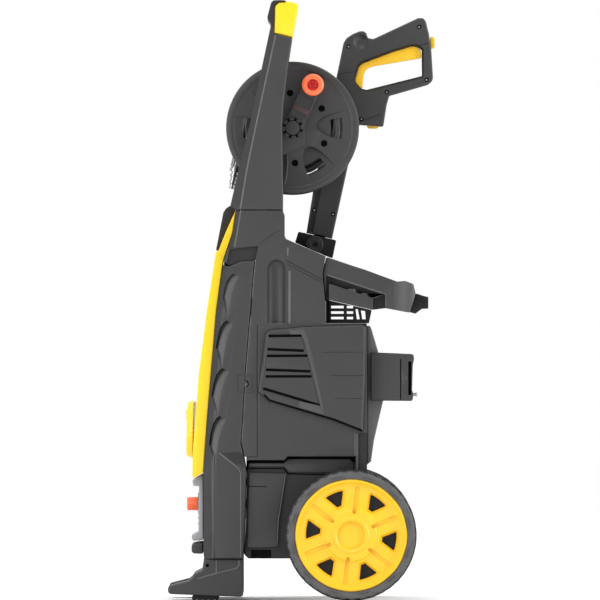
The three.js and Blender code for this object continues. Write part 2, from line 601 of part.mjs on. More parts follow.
function chassis() {
  const collar = block(-78, 76, -collarHalf, collarHalf, 200, 213.6)
  const outer = join(plate(chassisOutline, -chassisHalf, chassisHalf, { chamfer: 2 }), collar)
  const room = plate(chassisRoom, wall - collarHalf, collarHalf - wall)
  const sideSlits = bothSides.map((side) => plate(slitOutline, ...span(side, chassisHalf - 2, chassisHalf + 2)))
  const pressureHole = rod([-100, 46, 174], [-70, 33, 171], 11)
  const axleBore = rod([wheelX, -120, wheelRadius], [wheelX, 120, wheelRadius], axleRadius + gap)
  return cut(outer, room, ...sideSlits, inletRod(-100, -70, 8.5), pressureHole, axleBore)
}
add(body, 'chassis', 'black', chassis())

// ---- motor and pump ----
const motorX = 12
add(body, 'motor', 'aluminium', cut(rod([motorX, 0, 232], [motorX, 0, 345], 54, 32),
  rod([motorX, 0, 300], [motorX, 0, 350], 5.5, 16)))
function fan() {
  const hub = rod([motorX, 0, 348], [motorX, 0, 372], 14, 20)
  const blades = [0, 60, 120, 180, 240, 300].map((angle) => {
    const [x, y] = polar(32, angle)
    const blade = new THREE.BoxGeometry(44, 3, 16)
    blade.rotateX(0.6)
    blade.rotateZ(THREE.MathUtils.degToRad(angle))
    blade.translate(motorX + x, y, 361)
    return toSolid(blade)
  })
  return join(hub, rod([motorX, 0, 310], [motorX, 0, 352], 5, 16), ...blades)
}
add(body, 'motor_fan', 'black', fan())
add(body, 'pump_block', 'aluminium', join(
  block(-28, 52, -42, 42, 120, 231),
  rod([motorX, 0, 72], [motorX, 0, 121], 34, 24),
  rod([-32.6, 0, inletZ], [-20, 0, inletZ], 11, 16),
  rod([-32, 30, 172], [-20, 30, 172], 11, 16),
))
add(body, 'start_capacitor', 'midGrey', rod([-35, 75, 236], [-35, 75, 320], 18, 24))
const pipeRoute = [
  [-32.4, 30, 172], [-55, 30, 172], [-80, 36, 172], [-104, 60, 190], [-106, 84, 240], [-103, 85, 330],
  [-96, 85, 400], [-62, 85, 462], [-55, 85, 510], [-60, 85, 560], [-60, 85, 582],
]
add(body, 'pressure_pipe', 'black', pipe(pipeRoute, 6, 8, 26))

// ---- wheels ----
add(body, 'axle', 'steel', rod([wheelX, -150, wheelRadius], [wheelX, 150, wheelRadius], axleRadius, 24))

function rim() {
  const [near, far] = [-20, 20]
  const disc = turned([
    [axleRadius + gap, 2], [rimRadius - 6, 2], [rimRadius - 4, far - 4], [rimRadius, far - 4], [rimRadius, near + 4],
    [rimRadius - 5, near + 4], [rimRadius - 7, near + 9], [39, near + 9], [36, near + 3], [24, near + 3],
    [19, near + 7], [axleRadius + gap, near + 7], [axleRadius + gap, 2],
  ].reverse(), 40)
  const windows = [52.4, 112.4, 172.4, 232.4, 292.4, 352.4].map((middle) =>
    plate(sector(46.5, 68, middle - 12, middle + 12, 2, middle - 4, middle + 4), near - 5, -1))
  return cut(disc, ...windows)
}
const tyreProfile = [
  [rimRadius + gap, -16], [90, -19], [95, -16], [wheelRadius, -11], [wheelRadius, 11], [95, 16], [90, 19],
  [rimRadius + gap, 16], [rimRadius + gap, -16],
]
for (const [side, direction] of [['near', -1], ['far', 1]]) {
  const wheel = new THREE.Group()
  wheel.position.set(wheelX, (direction * (wheelInner + wheelOuter)) / 2, wheelRadius)
  if (direction > 0) wheel.rotation.z = Math.PI
  add(wheel, `wheel_rim_${side}`, 'yellow', rim())
  add(wheel, `tyre_${side}`, 'rubber', turned(tyreProfile, 44))
  rear.add(wheel)
}

export default machine
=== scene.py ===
import math
import bmesh
import bpy
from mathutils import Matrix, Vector


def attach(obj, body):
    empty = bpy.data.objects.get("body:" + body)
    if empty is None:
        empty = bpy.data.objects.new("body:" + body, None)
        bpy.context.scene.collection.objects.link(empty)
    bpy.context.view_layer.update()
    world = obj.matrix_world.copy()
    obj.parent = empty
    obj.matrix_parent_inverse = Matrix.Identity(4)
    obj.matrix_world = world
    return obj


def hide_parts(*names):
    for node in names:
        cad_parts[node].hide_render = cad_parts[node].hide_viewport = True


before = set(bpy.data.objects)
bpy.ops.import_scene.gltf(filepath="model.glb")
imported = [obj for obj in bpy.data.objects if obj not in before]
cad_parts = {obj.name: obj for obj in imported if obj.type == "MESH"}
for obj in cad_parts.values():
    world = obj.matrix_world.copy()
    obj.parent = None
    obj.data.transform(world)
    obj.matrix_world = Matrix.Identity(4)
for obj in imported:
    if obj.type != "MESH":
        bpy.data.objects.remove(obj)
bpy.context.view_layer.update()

# Pressure washer: the looks, built around the fixed frame.
# Shapes below are in millimetres and turned into metres when a mesh is made. X to the rear, Z up,
# the crank side at -Y.
mm = 0.001

# The camera looks straight at the crank side.
cameraLook = {'distance': 20.0, 'frameHeight': 0.9, 'middleX': -0.003, 'middleZ': 0.44775, 'sensor': 36.0}


def placeCamera(look):
    data = bpy.data.cameras.new('sideCamera')
    data.sensor_width = look['sensor']
    data.lens = look['sensor'] * look['distance'] / look['frameHeight']
    data.clip_end = 200
    camera = bpy.data.objects.new('sideCamera', data)
    camera.location = (look['middleX'], -look['distance'], look['middleZ'])
    camera.rotation_euler = (math.radians(90), 0, 0)
    bpy.context.scene.collection.objects.link(camera)
    bpy.context.scene.camera = camera


placeCamera(cameraLook)
print('camera placed')


# Shader helpers.
class Wire:  # one socket, with the arithmetic written as Python
    def __init__(self, finish, socket):
        self.finish = finish
        self.socket = socket

    def join(self, operation, left, right):
        vector = any(isinstance(side, Wire) and side.socket.type == 'VECTOR' for side in (left, right))
        kind = 'ShaderNodeVectorMath' if vector else 'ShaderNodeMath'
        return self.finish.node(kind, {'operation': operation}, {0: left, 1: right})

    def __add__(self, other): return self.join('ADD', self, other)
    def __radd__(self, other): return self.join('ADD', other, self)
    def __sub__(self, other): return self.join('SUBTRACT', self, other)
    def __rsub__(self, other): return self.join('SUBTRACT', other, self)
    def __mul__(self, other): return self.join('MULTIPLY', self, other)
    def __rmul__(self, other): return self.join('MULTIPLY', other, self)


class Finish:  # one material's node tree
    def __init__(self, name):
        self.material = bpy.data.materials.new(name)
        self.material.use_nodes = True
        self.tree = self.material.node_tree
        self.tree.nodes.clear()
        self.place = self.node('ShaderNodeTexCoord', out='Object')

    def node(self, kind, settings=None, sockets=None, out=0):
        made = self.tree.nodes.new(kind)
        for key, value in (settings or {}).items():
            if key == 'stops':
                self.setStops(made.color_ramp, value)
            else:
                setattr(made, key, value)
        for key, value in (sockets or {}).items():
            if isinstance(value, Wire):
                self.tree.links.new(value.socket, made.inputs[key])
            else:
                made.inputs[key].default_value = value
        return Wire(self, made.outputs[out]) if len(made.outputs) else made

    def setStops(self, ramp, stops):
        while len(ramp.elements) < len(stops):
            ramp.elements.new(0.5)
        for element, (position, shade) in zip(ramp.elements, stops):
            element.position = position
            element.color = (shade, shade, shade, 1)

    def noise(self, scale, detail=2.0, rough=0.5, place=None):
        return self.node('ShaderNodeTexNoise', {}, {'Vector': place or self.place, 'Scale': scale,
                                                    'Detail': detail, 'Roughness': rough}, 'Fac')

    def ramp(self, value, stops):
        return self.node('ShaderNodeValToRGB', {'stops': stops}, {0: value}, 'Color')

    def between(self, factor, first, second):  # a colour part way from first to second
        sockets = {0: factor, 6: first, 7: second}
        return self.node('ShaderNodeMix', {'data_type': 'RGBA'}, sockets, 2)

    def bump(self, height, distance, strength):
        return self.node('ShaderNodeBump', {},
                         {'Height': height, 'Distance': distance, 'Strength': strength})

    def close(self, sockets):
        shader = self.node('ShaderNodeBsdfPrincipled', {}, sockets)
        self.node('ShaderNodeOutputMaterial', {}, {'Surface': shader})
        return self.material


def tint(colour, factor):
    return tuple(min(1.0, channel * factor) for channel in colour) + (1.0,)


# Moulded plastic: cloudy pigment, fine spark-eroded grain, dust specks and scuffs that are a little paler.
def mouldedPlastic(name, look):
    finish = Finish(name)
    colour = look['colour']
    cloud = finish.noise(look.get('cloudScale', 22.0), 3.0)
    speck = finish.ramp(finish.noise(1400.0, 1.0), [(0.66, 0.0), (0.78, 1.0)])
    scuffPlace = finish.place * (60.0, 60.0, 900.0)
    scuff = finish.ramp(finish.noise(1.0, 2.0, 0.6, scuffPlace), [(0.62, 0.0), (0.8, 1.0)])
    base = finish.between(cloud, tint(colour, 1 - look['mottle']), tint(colour, 1 + look['mottle']))
    marked = finish.between(scuff * look['scuff'], base, tint(colour, 1.9))
    dusted = finish.between(speck * look['dust'], marked, tint(colour, 2.4))
    grain = finish.noise(look['grainScale'], 4.0, 0.6)
    rough = look['rough'] + (cloud - 0.5) * 0.14 + scuff * 0.08
    bumped = finish.bump(grain, look['grainDepth'] * mm, 0.8)
    return finish.close({'Base Color': dusted, 'Roughness': rough, 'Normal': bumped,
                         'Specular IOR Level': look.get('specular', 0.5),
                         'Coat Weight': look.get('coat', 0.0), 'Coat Roughness': 0.22})


plastics = {
    'charcoal': {'colour': (0.030, 0.030, 0.031), 'rough': 0.5, 'mottle': 0.07, 'scuff': 0.05,
                 'dust': 0.06, 'grainScale': 1500.0, 'grainDepth': 0.06},
    # a paler charcoal laid on beads, creases and rims as painted highlight lines
    'charcoalPaintedHighlight': {'colour': (0.098, 0.098, 0.1), 'rough': 0.4, 'mottle': 0.1, 'scuff': 0.12,
                     'dust': 0.03, 'grainScale': 1500.0, 'grainDepth': 0.03},
    # a slightly paler charcoal on gill scoops, facets and edge strips: painted light on faces turned to the
    # lamps
    'charcoalPaintedLight': {'colour': (0.055, 0.055, 0.0565), 'rough': 0.45, 'mottle': 0.08, 'scuff': 0.08,
                     'dust': 0.04, 'grainScale': 1500.0, 'grainDepth': 0.05},
    # a darker charcoal: the colour of some darker parts and marks, and also painted shade on chamfers,
    # undercuts, recesses and crease lines
    'charcoalDarkAndPaintedShade': {'colour': (0.009, 0.009, 0.0095), 'rough': 0.55, 'mottle': 0.1, 'scuff': 0.05,
                     'dust': 0.03, 'grainScale': 1500.0, 'grainDepth': 0.06},
    'black': {'colour': (0.007, 0.007, 0.0072), 'rough': 0.5, 'mottle': 0.12, 'scuff': 0.05, 'dust': 0.04,
              'grainScale': 1300.0, 'grainDepth': 0.05, 'specular': 0.35},
    # near black: painted shadow inside holes, slits, gaps and behind joints
    'paintedShadowBlack': {'colour': (0.003, 0.003, 0.003), 'rough': 0.85, 'mottle': 0.2, 'scuff': 0.0, 'dust': 0.0,
            'grainScale': 900.0, 'grainDepth': 0.05, 'specular': 0.12},
    'midGrey': {'colour': (0.105, 0.105, 0.107), 'rough': 0.5, 'mottle': 0.06, 'scuff': 0.05,
                'dust': 0.03, 'grainScale': 1400.0, 'grainDepth': 0.05},
    'lightGrey': {'colour': (0.34, 0.345, 0.365), 'rough': 0.45, 'mottle': 0.04, 'scuff': 0.05,
                  'dust': 0.0, 'grainScale': 1400.0, 'grainDepth': 0.03},
    'panelYellow': {'colour': (0.86, 0.585, 0.008), 'rough': 0.38, 'mottle': 0.02, 'scuff': 0.0,
                    'dust': 0.0,
                    'grainScale': 1600.0, 'grainDepth': 0.015, 'coat': 0.15},
    'wheelYellow': {'colour': (0.86, 0.495, 0.016), 'rough': 0.4, 'mottle': 0.03, 'scuff': 0.0,
                    'dust': 0.0,
                    'grainScale': 1600.0, 'grainDepth': 0.02, 'coat': 0.12},
    'orange': {'colour': (0.95, 0.16, 0.055), 'rough': 0.38, 'mottle': 0.03, 'scuff': 0.0, 'dust': 0.0,
               'grainScale': 1600.0, 'grainDepth': 0.015, 'coat': 0.2},
    'deepRed': {'colour': (0.5, 0.008, 0.006), 'rough': 0.3, 'mottle': 0.05, 'scuff': 0.0, 'dust': 0.0,
                'grainScale': 1600.0, 'grainDepth': 0.015, 'coat': 0.3},
    'brownBand': {'colour': (0.062, 0.034, 0.032), 'rough': 0.5, 'mottle': 0.08, 'scuff': 0.05,
                  'dust': 0.03, 'grainScale': 1500.0, 'grainDepth': 0.05},
}
paint = {name: mouldedPlastic(name, look) for name, look in plastics.items()}


# Rubber: matt, with a coarser pebble and paler dust in it.
def rubber(name, look):
    finish = Finish(name)
    cloud = finish.noise(35.0, 4.0, 0.6)
    pebble = finish.noise(look['pebble'], 3.0, 0.7)
    dust = finish.ramp(finish.noise(160.0, 4.0, 0.7), [(0.45, 0.0), (0.75, 1.0)])
    base = finish.between(cloud, tint(look['colour'], 0.85), tint(look['colour'], 1.15))
    dusty = finish.between(dust * look['dust'], base, tint(look['colour'], 1.8))
    rough = look['rough'] + (pebble - 0.5) * 0.2
    return finish.close({'Base Color': dusty, 'Roughness': rough, 'Specular IOR Level': 0.35,
                         'Normal': finish.bump(pebble, look['depth'] * mm, 0.9)})


rubbers = {
    'rubber': {'colour': (0.02, 0.02, 0.02), 'pebble': 700.0, 'depth': 0.12, 'rough': 0.82, 'dust': 0.25},
    'tyreGrey': {'colour': (0.088, 0.088, 0.09), 'pebble': 600.0, 'depth': 0.14, 'rough': 0.7,
                 'dust': 0.2},
    'tyreTread': {'colour': (0.022, 0.022, 0.023), 'pebble': 500.0, 'depth': 0.18, 'rough': 0.8,
                  'dust': 0.35},
    'hoseBlack': {'colour': (0.03, 0.03, 0.031), 'pebble': 1100.0, 'depth': 0.05, 'rough': 0.4,
                  'dust': 0.12},
}
paint.update({name: rubber(name, look) for name, look in rubbers.items()})


# Metal: fine turned or cast grain, faint stains, brightness kept by the reflections.
def metal(name, look):
    finish = Finish(name)
    stain = finish.noise(70.0, 4.0, 0.6)
    lines = finish.noise(1.0, 3.0, 0.6, finish.place * look['grain'])
    base = finish.between(stain, tint(look['colour'], 0.88), tint(look['colour'], 1.06))
    rough = look['rough'] + (lines - 0.5) * 0.12 + stain * 0.06
    return finish.close({'Base Color': base, 'Roughness': rough, 'Metallic': 1.0,
                         'Normal': finish.bump(lines, look['depth'] * mm, 0.6)})


metals = {
    'chrome': {'colour': (0.3, 0.305, 0.315), 'rough': 0.22, 'grain': (400.0, 400.0, 400.0),
               'depth': 0.01},
    'brass': {'colour': (0.72, 0.5, 0.2), 'rough': 0.28, 'grain': (900.0, 200.0, 900.0), 'depth': 0.03},
    'steel': {'colour': (0.55, 0.56, 0.58), 'rough': 0.3, 'grain': (1200.0, 150.0, 1200.0),
              'depth': 0.03},
    'darkSteel': {'colour': (0.16, 0.16, 0.17), 'rough': 0.32, 'grain': (900.0, 900.0, 900.0),
                  'depth': 0.02},
    'aluminium': {'colour': (0.62, 0.63, 0.65), 'rough': 0.48, 'grain': (700.0, 700.0, 700.0),
                  'depth': 0.12},
}
paint.update({name: metal(name, look) for name, look in metals.items()})
print('finishes made:', len(paint))


# Outline helpers: (x, z) pairs in millimetres.
def polar(radius, degrees):
    return (radius * math.cos(math.radians(degrees)), radius * math.sin(math.radians(degrees)))


def shift(points, dx):
    return [(x + dx, z) for x, z in points]


def area(points):
    return sum(a[0] * b[1] - b[0] * a[1] for a, b in zip(points, points[1:] + points[:1])) / 2


def offset(points, distance):  # moves every side of a closed outline outwards by distance
    if area(points) < 0:
        points = points[::-1]
    moved = []
    for i, point in enumerate(points):
        before = Vector(point) - Vector(points[i - 1])
        after = Vector(points[(i + 1) % len(points)]) - Vector(point)
        before.normalize()
        after.normalize()
        normal = Vector((before.y + after.y, -before.x - after.x))
        scale = distance / max(0.35, 1 + before.dot(after))
        moved.append((point[0] + normal.x * scale, point[1] + normal.y * scale))
    return moved


def rounded(points, radius, steps=5, keep=()):  # corners turned into arcs, except those listed in keep
    made = []
    count = len(points)
    for i, point in enumerate(points):
        here = Vector(point)
        back = Vector(points[i - 1]) - here
        ahead = Vector(points[(i + 1) % count]) - here
        turn = math.pi - back.angle(ahead)
        if i in keep or turn < 0.12:
            made.append(point)
            continue
        reach = min(radius * math.tan(turn / 2), back.length * 0.45, ahead.length * 0.45)
        start = here + back.normalized() * reach
        end = here + ahead.normalized() * reach
        for k in range(steps + 1):
            t = k / steps
            spot = start * (1 - t) ** 2 + here * (2 * t * (1 - t)) + end * t ** 2
            made.append((spot.x, spot.y))
    return made


def sector(inner, outer, start, end, steps=8, innerStart=None, innerEnd=None):
    first = start if innerStart is None else innerStart
    last = end if innerEnd is None else innerEnd
    outside = [polar(outer, start + (end - start) * i / steps) for i in range(steps + 1)]
    inside = [polar(inner, last + (first - last) * i / steps) for i in range(steps + 1)]
    return outside + inside


def capsule(start, end, radius, steps=8):
    heading = math.degrees(math.atan2(end[1] - start[1], end[0] - start[0]))
    front = [polar(radius, heading - 90 + 180 * i / steps) for i in range(steps + 1)]
    back = [polar(radius, heading + 90 + 180 * i / steps) for i in range(steps + 1)]
    return [(end[0] + x, end[1] + z) for x, z in front] + [(start[0] + x, start[1] + z) for x, z in back]


def circle(x, z, radius, sides=24):
    return [(x + dx, z + dz) for dx, dz in (polar(radius, 360 * i / sides) for i in range(sides))]


def box2(left, right, low, high):
    return [(left, low), (right, low), (right, high), (left, high)]


def stroke(points, width):  # a thin closed outline along an open line
    left, right = [], []
    for i, point in enumerate(points):
        before = Vector(points[max(i - 1, 0)])
        after = Vector(points[min(i + 1, len(points) - 1)])
        along = (after - before).normalized()
        side = Vector((-along.y, along.x)) * width / 2
        left.append((point[0] + side.x, point[1] + side.y))
        right.append((point[0] - side.x, point[1] - side.y))
    return left + right[::-1]


# Mesh helpers.
def newObject(name, bm):
    bmesh.ops.recalc_face_normals(bm, faces=bm.faces)
    mesh = bpy.data.meshes.new(name)
    bm.to_mesh(mesh)
    bm.free()
    made = bpy.data.objects.new(name, mesh)
    bpy.context.scene.collection.objects.link(made)
    return made


def rings(sections):  # joins equal loops of 3-D points and caps both ends
    bm = bmesh.new()
    loops = [[bm.verts.new(Vector(p) * mm) for p in section] for section in sections]
    count = len(loops[0])
    for first, second in zip(loops, loops[1:]):
        for i in range(count):
            j = (i + 1) % count
            bm.faces.new((first[i], first[j], second[j], second[i]))
    bm.faces.new(loops[0][::-1])
    bm.faces.new(loops[-1])
    return newObject('part', bm)


def plate(points, yLow, yHigh, edge=0.0, steps=3, ends='both', worn=None):
    # An (x, z) outline pulled across the width. `edge` rounds the rim of its ends, and `worn` gives
    # that rim a finish slot.
    made = rings([[(x, yLow, z) for x, z in points], [(x, yHigh, z) for x, z in points]])
    if edge > 0:
        roundRims(made, yLow * mm, yHigh * mm, edge, steps, ends, worn)
    return made


def roundRims(obj, low, high, edge, steps, ends, worn):
    bm = bmesh.new()
    bm.from_mesh(obj.data)
    levels = {'both': (low, high), 'low': (low,), 'high': (high,)}[ends]
    picked = [e for e in bm.edges
              if any(all(abs(v.co.y - level) < 1e-6 for v in e.verts) for level in levels)]
    bmesh.ops.bevel(bm, geom=picked, offset=edge * mm, segments=steps, profile=0.5, affect='EDGES',
                    clamp_overlap=True, material=-1 if worn is None else worn)
    bm.to_mesh(obj.data)
    bm.free()


def taper(front, yFront, back, yBack):  # a plug whose outline changes from front to back
    return rings([[(x, yFront, z) for x, z in front], [(x, yBack, z) for x, z in back]])


def slab(points, zLow, zHigh):  # an (x, y) outline pulled upwards
    return rings([[(x, y, zLow) for x, y in points], [(x, y, zHigh) for x, y in points]])


def block(xLow, xHigh, yLow, yHigh, zLow, zHigh):
    return slab([(xLow, yLow), (xHigh, yLow), (xHigh, yHigh), (xLow, yHigh)], zLow, zHigh)


# A turned shape: profile points are (radius, distance along the axis), from one end to the other.
def turned(profile, start=(0, 0, 0), along=(0, 1, 0), sides=48, swell=None, ring=False):
    axis = Vector(along).normalized()
    across = axis.orthogonal().normalized() if abs(axis.y) < 0.999 else Vector((1, 0, 0))
    up = axis.cross(across) if abs(axis.y) < 0.999 else Vector((0, 0, 1))
    bm = bmesh.new()
    loops = []
    for radius, distance in profile:
        middle = Vector(start) + axis * distance
        if radius < 1e-6:
            loops.append([bm.verts.new(middle * mm)])
            continue
        loop = []
        for i in range(sides):
            angle = 2 * math.pi * i / sides
            reach = radius if swell is None else swell(radius, distance, math.degrees(angle))
            spot = middle + (across * math.cos(angle) + up * math.sin(angle)) * reach
            loop.append(bm.verts.new(spot * mm))
        loops.append(loop)
    pairs = list(zip(loops, loops[1:]))
    if ring:
        pairs.append((loops[-1], loops[0]))
    for first, second in pairs:
        for i in range(sides):
            j = (i + 1) % sides
            corners = [first[i % len(first)], first[j % len(first)], second[j % len(second)],
                       second[i % len(second)]]
            kept = list(dict.fromkeys(corners))
            if len(kept) > 2:
                bm.faces.new(kept)
    if not ring:
        for loop in (loops[0], loops[-1]):
            if len(loop) > 1:
                bm.faces.new(loop)
    return newObject('turned', bm)


def rod(start, end, radius, endRadius=None, sides=24):
    run = Vector(end) - Vector(start)
    last = radius if endRadius is None else endRadius
    return turned([(radius, 0), (last, run.length)], start, run, sides)


def freeze(obj):  # applies the object's modifiers
    graph = bpy.context.evaluated_depsgraph_get()
    mesh = bpy.data.meshes.new_from_object(obj.evaluated_get(graph))
    old = obj.data
    obj.modifiers.clear()
    obj.data = mesh
    bpy.data.meshes.remove(old)


def discard(obj):
    mesh = obj.data
    bpy.data.objects.remove(obj)
    bpy.data.meshes.remove(mesh)


def measure(mesh):  # volume in cubic millimetres, and the number of open edges
    bm = bmesh.new()
    bm.from_mesh(mesh)
    size = (bm.calc_volume(signed=True) / mm ** 3, sum(not edge.is_manifold for edge in bm.edges))
    bm.free()
    return size


def believable(operation, before, tool, after):
    if after[1] > before[1]:
        return False
    if operation == 'DIFFERENCE':
        return before[0] - tool[0] * 1.02 - 1 < after[0] < before[0] * 1.0005
    if operation == 'UNION':
        return before[0] * 0.9995 < after[0] < before[0] + tool[0] * 1.02
    return 0 < after[0] < min(before[0], tool[0]) * 1.0005


booleanTries = [('MANIFOLD', 0.0), ('EXACT', 0.0), ('MANIFOLD', 0.017), ('EXACT', 0.023),
                ('EXACT', -0.031)]


def combine(base, others, operation, finish=None):
    for other in others:
        if finish is not None:
            while len(other.data.materials) <= finish:
                other.data.materials.append(base.data.materials[len(other.data.materials)])
            for polygon in other.data.polygons:
                polygon.material_index = finish
        whole = base.data.copy()
        before, tool = measure(base.data), measure(other.data)
        # a solver now and then loses a shape, so the result is weighed
        for solver, nudge in booleanTries:
            other.location = (nudge * mm, nudge * mm, nudge * mm)
            modifier = base.modifiers.new('shape', 'BOOLEAN')
            modifier.operation = operation
            modifier.solver = solver
            modifier.object = other
            modifier.material_mode = 'INDEX' if finish is None else 'TRANSFER'
            freeze(base)
            if believable(operation, before, tool, measure(base.data)):
                break
            base.data = whole.copy()
        else:
            print('left out of', base.name, operation, round(tool[0]))
        discard(other)
    return base


def cutAway(base, *tools, finish=None):
    return combine(base, tools, 'DIFFERENCE', finish)


def join(base, *parts, finish=None):
    return combine(base, parts, 'UNION', finish)


def meet(base, tool):
    return combine(base, [tool], 'INTERSECT')


def merged(name, objects):  # several separate bodies in one piece
    bm = bmesh.new()
    for obj in objects:
        bm.from_mesh(obj.data)
    materials = list(objects[0].data.materials)
    for obj in objects:
        discard(obj)
    mesh = bpy.data.meshes.new(name)
    bm.to_mesh(mesh)
    bm.free()
    made = bpy.data.objects.new(name, mesh)
    bpy.context.scene.collection.objects.link(made)
    for material in materials:
        mesh.materials.append(material)
    return made


def finishUp(obj, name, body, replaced=(), lip=0.0, smooth=38):
    obj.name = name
    obj.data.name = name
    if lip > 0:
        bevel = obj.modifiers.new('lip', 'BEVEL')
        bevel.width = lip * mm
        bevel.segments = 2
        bevel.limit_method = 'ANGLE'
        bevel.angle_limit = math.radians(50)
        freeze(obj)
    bm = bmesh.new()
    bm.from_mesh(obj.data)
    bmesh.ops.remove_doubles(bm, verts=bm.verts, dist=1e-6)
    bmesh.ops.dissolve_degenerate(bm, dist=1e-6, edges=bm.edges)
    bm.to_mesh(obj.data)
    bm.free()
    obj.data.shade_smooth()
    obj.data.set_sharp_from_angle(angle=math.radians(smooth))
    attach(obj, body)
    if replaced:
        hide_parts(*replaced)
    return obj


def dress(obj, *names):
    obj.data.materials.clear()
    for name in names:
        obj.data.materials.append(paint[name])
    return obj


def span(side, near, far):
    return sorted((side * near, side * far))


def outerEnd(side):  # which end of a plate faces outwards
    return 'low' if side < 0 else 'high'


def nameOf(side):
    return 'near' if side < 0 else 'far'


# Cuts the corner between a face at |y| = face and a line `deep` down to `depth`.
# The slope ends on `shallow`.
def slopeTool(side, face, deep, shallow, depth, beyond=0.6):
    sections = []
    for (px, pz), (qx, qz) in zip(deep, shallow):
        outX, outZ = px + (px - qx) * beyond, pz + (pz - qz) * beyond
        inX, inZ = qx + (qx - px) * 0.15, qz + (qz - pz) * 0.15
        sections.append([(outX, side * (face + 4), outZ),
                         (outX, side * (face - depth * (1 + beyond)), outZ),
                         (inX, side * (face + depth * 0.15), inZ), (inX, side * (face + 4), inZ)])
    return rings(sections)


def scoopTool(side, face, deep, shallow, depth):  # steep along `deep`, fading out along `shallow`
    sections = []
    for (px, pz), (qx, qz) in zip(deep, shallow):
        inX, inZ = qx + (qx - px) * 0.1, qz + (qz - pz) * 0.1
        sections.append([(px, side * (face + 3), pz), (px, side * (face - depth), pz),
                         (inX, side * (face + depth * 0.1), inZ), (inX, side * (face + 3), inZ)])
    return rings(sections)


def bead(points, width, side, face, height):  # a slim raised line on a flank
    return plate(stroke(points, width), *span(side, face - 1.5, face + height),
                 edge=min(height, width / 2) * 0.6, steps=2, ends=outerEnd(side))


def screw(x, z, side, face, radius=3.2):  # a sunk screw head with a cross
    head = turned([(radius, 0), (radius, 1.6), (radius * 0.7, 2.2), (0, 2.3)],
                  (x, side * (face - 3.2), z), (0, side, 0), 20)
    head.data.materials.append(paint['darkSteel'])
    arm = radius * 0.62
    for wide, tall in ((arm, 0.45), (0.45, arm)):
        cutAway(head, plate(box2(x - wide, x + wide, z - tall, z + tall), *span(side, face - 1.6, face)))
    return head


def sink(x, z, side, face, radius, depth):
    return turned([(radius, 0), (radius + 0.4, depth + 1)], (x, side * (face - depth), z), (0, side, 0),
                  20)


sides = {'near': -1, 'far': 1}
# slots 0 to 4 of the grey parts: plain charcoal, painted highlight, painted shadow black, darker charcoal
# also used as painted shade, paler charcoal as painted light
bodyFinish = ('charcoal', 'charcoalPaintedHighlight', 'paintedShadowBlack', 'charcoalDarkAndPaintedShade', 'charcoalPaintedLight')

# The hose, wound in three layers on the reel.
reelX, reelZ = -14.1, 705.0
hose = {'diameter': 10.0, 'firstRadius': 46.3, 'layerStep': 10.0, 'pitch': 10.15, 'nearY': -44.8,
        'farY': 32.8,
        'climb': 45.0, 'steps': 24, 'tailAngle': 167.9, 'tailRadius': 70.6, 'tailY': -10.0, 'ease': 70.0,
        'tailLength': 58.3}


def hosePath(look):
    stations = []  # (angle, radius, y) along the winding, in degrees and millimetres
    angle = 0.0
    turn = 360.0 / look['steps']

    def run(degrees, radii, ys):
        nonlocal angle
        count = max(2, round(degrees / turn))
        for i in range(1, count + 1):
            t = i / count
            ease = t * t * (3 - 2 * t)
            stations.append((angle + degrees * t, radii[0] + (radii[1] - radii[0]) * ease,
                             ys[0] + (ys[1] - ys[0]) * t))
        angle += degrees

    width = look['farY'] - look['nearY']
    layerTurns = 360.0 * width / look['pitch']
    r1 = look['firstRadius']
    r2 = r1 + look['layerStep']
    r3 = r2 + look['layerStep']
    stations.append((0.0, r1, look['nearY']))
    run(layerTurns, (r1, r1), (look['nearY'], look['farY']))
    run(look['climb'], (r1, r2), (look['farY'], look['farY']))
    run(layerTurns, (r2, r2), (look['farY'], look['nearY']))
    run(look['climb'], (r2, r3), (look['nearY'], look['nearY']))
    lastTurns = 360.0 * (look['tailY'] - look['nearY']) / look['pitch']
    run(lastTurns - look['ease'], (r3, r3), (look['nearY'],
                                             look['tailY'] - look['pitch'] * look['ease'] / 360))
    run(look['ease'], (r3, look['tailRadius']),
        (look['tailY'] - look['pitch'] * look['ease'] / 360, look['tailY']))
    turnBack = look['tailAngle'] - angle
    points = []
    for station, radius, y in stations:
        x, z = polar(radius, station + turnBack)
        points.append(Vector((reelX + x, y, reelZ + z)))
    down = Vector((-math.sin(math.radians(look['tailAngle'])), 0,
                   math.cos(math.radians(look['tailAngle']))))
    foot = points[-1]
    points += [foot + down * (look['tailLength'] * i / 6) for i in range(1, 7)]
    return points


def hoseCurve(points, look):
    curve = bpy.data.curves.new('hose', 'CURVE')
    curve.dimensions = '3D'
    spline = curve.splines.new('POLY')
    spline.points.add(len(points) - 1)
    for spot, point in zip(spline.points, points):
        spot.co = (*(point * mm), 1)
    curve.bevel_depth = look['diameter'] / 2 * mm
    curve.bevel_resolution = 3
    curve.use_fill_caps = True
    made = bpy.data.objects.new('hose', curve)
    bpy.context.scene.collection.objects.link(made)
    curve.materials.append(paint['hoseBlack'])
    return made


hosePoints = hosePath(hose)
hoseLength = sum((b - a).length for a, b in zip(hosePoints, hosePoints[1:])) * mm
hoseObject = hoseCurve(hosePoints, hose)
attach(hoseObject, 'reel')
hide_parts('hose_coil', 'hose_tail')
print('hose', round(hoseLength, 3), 'm')

# The plug on the loose end: knurled collar, flange and stepped nozzle.
plug = {'start': 58.6, 'knurls': 14}


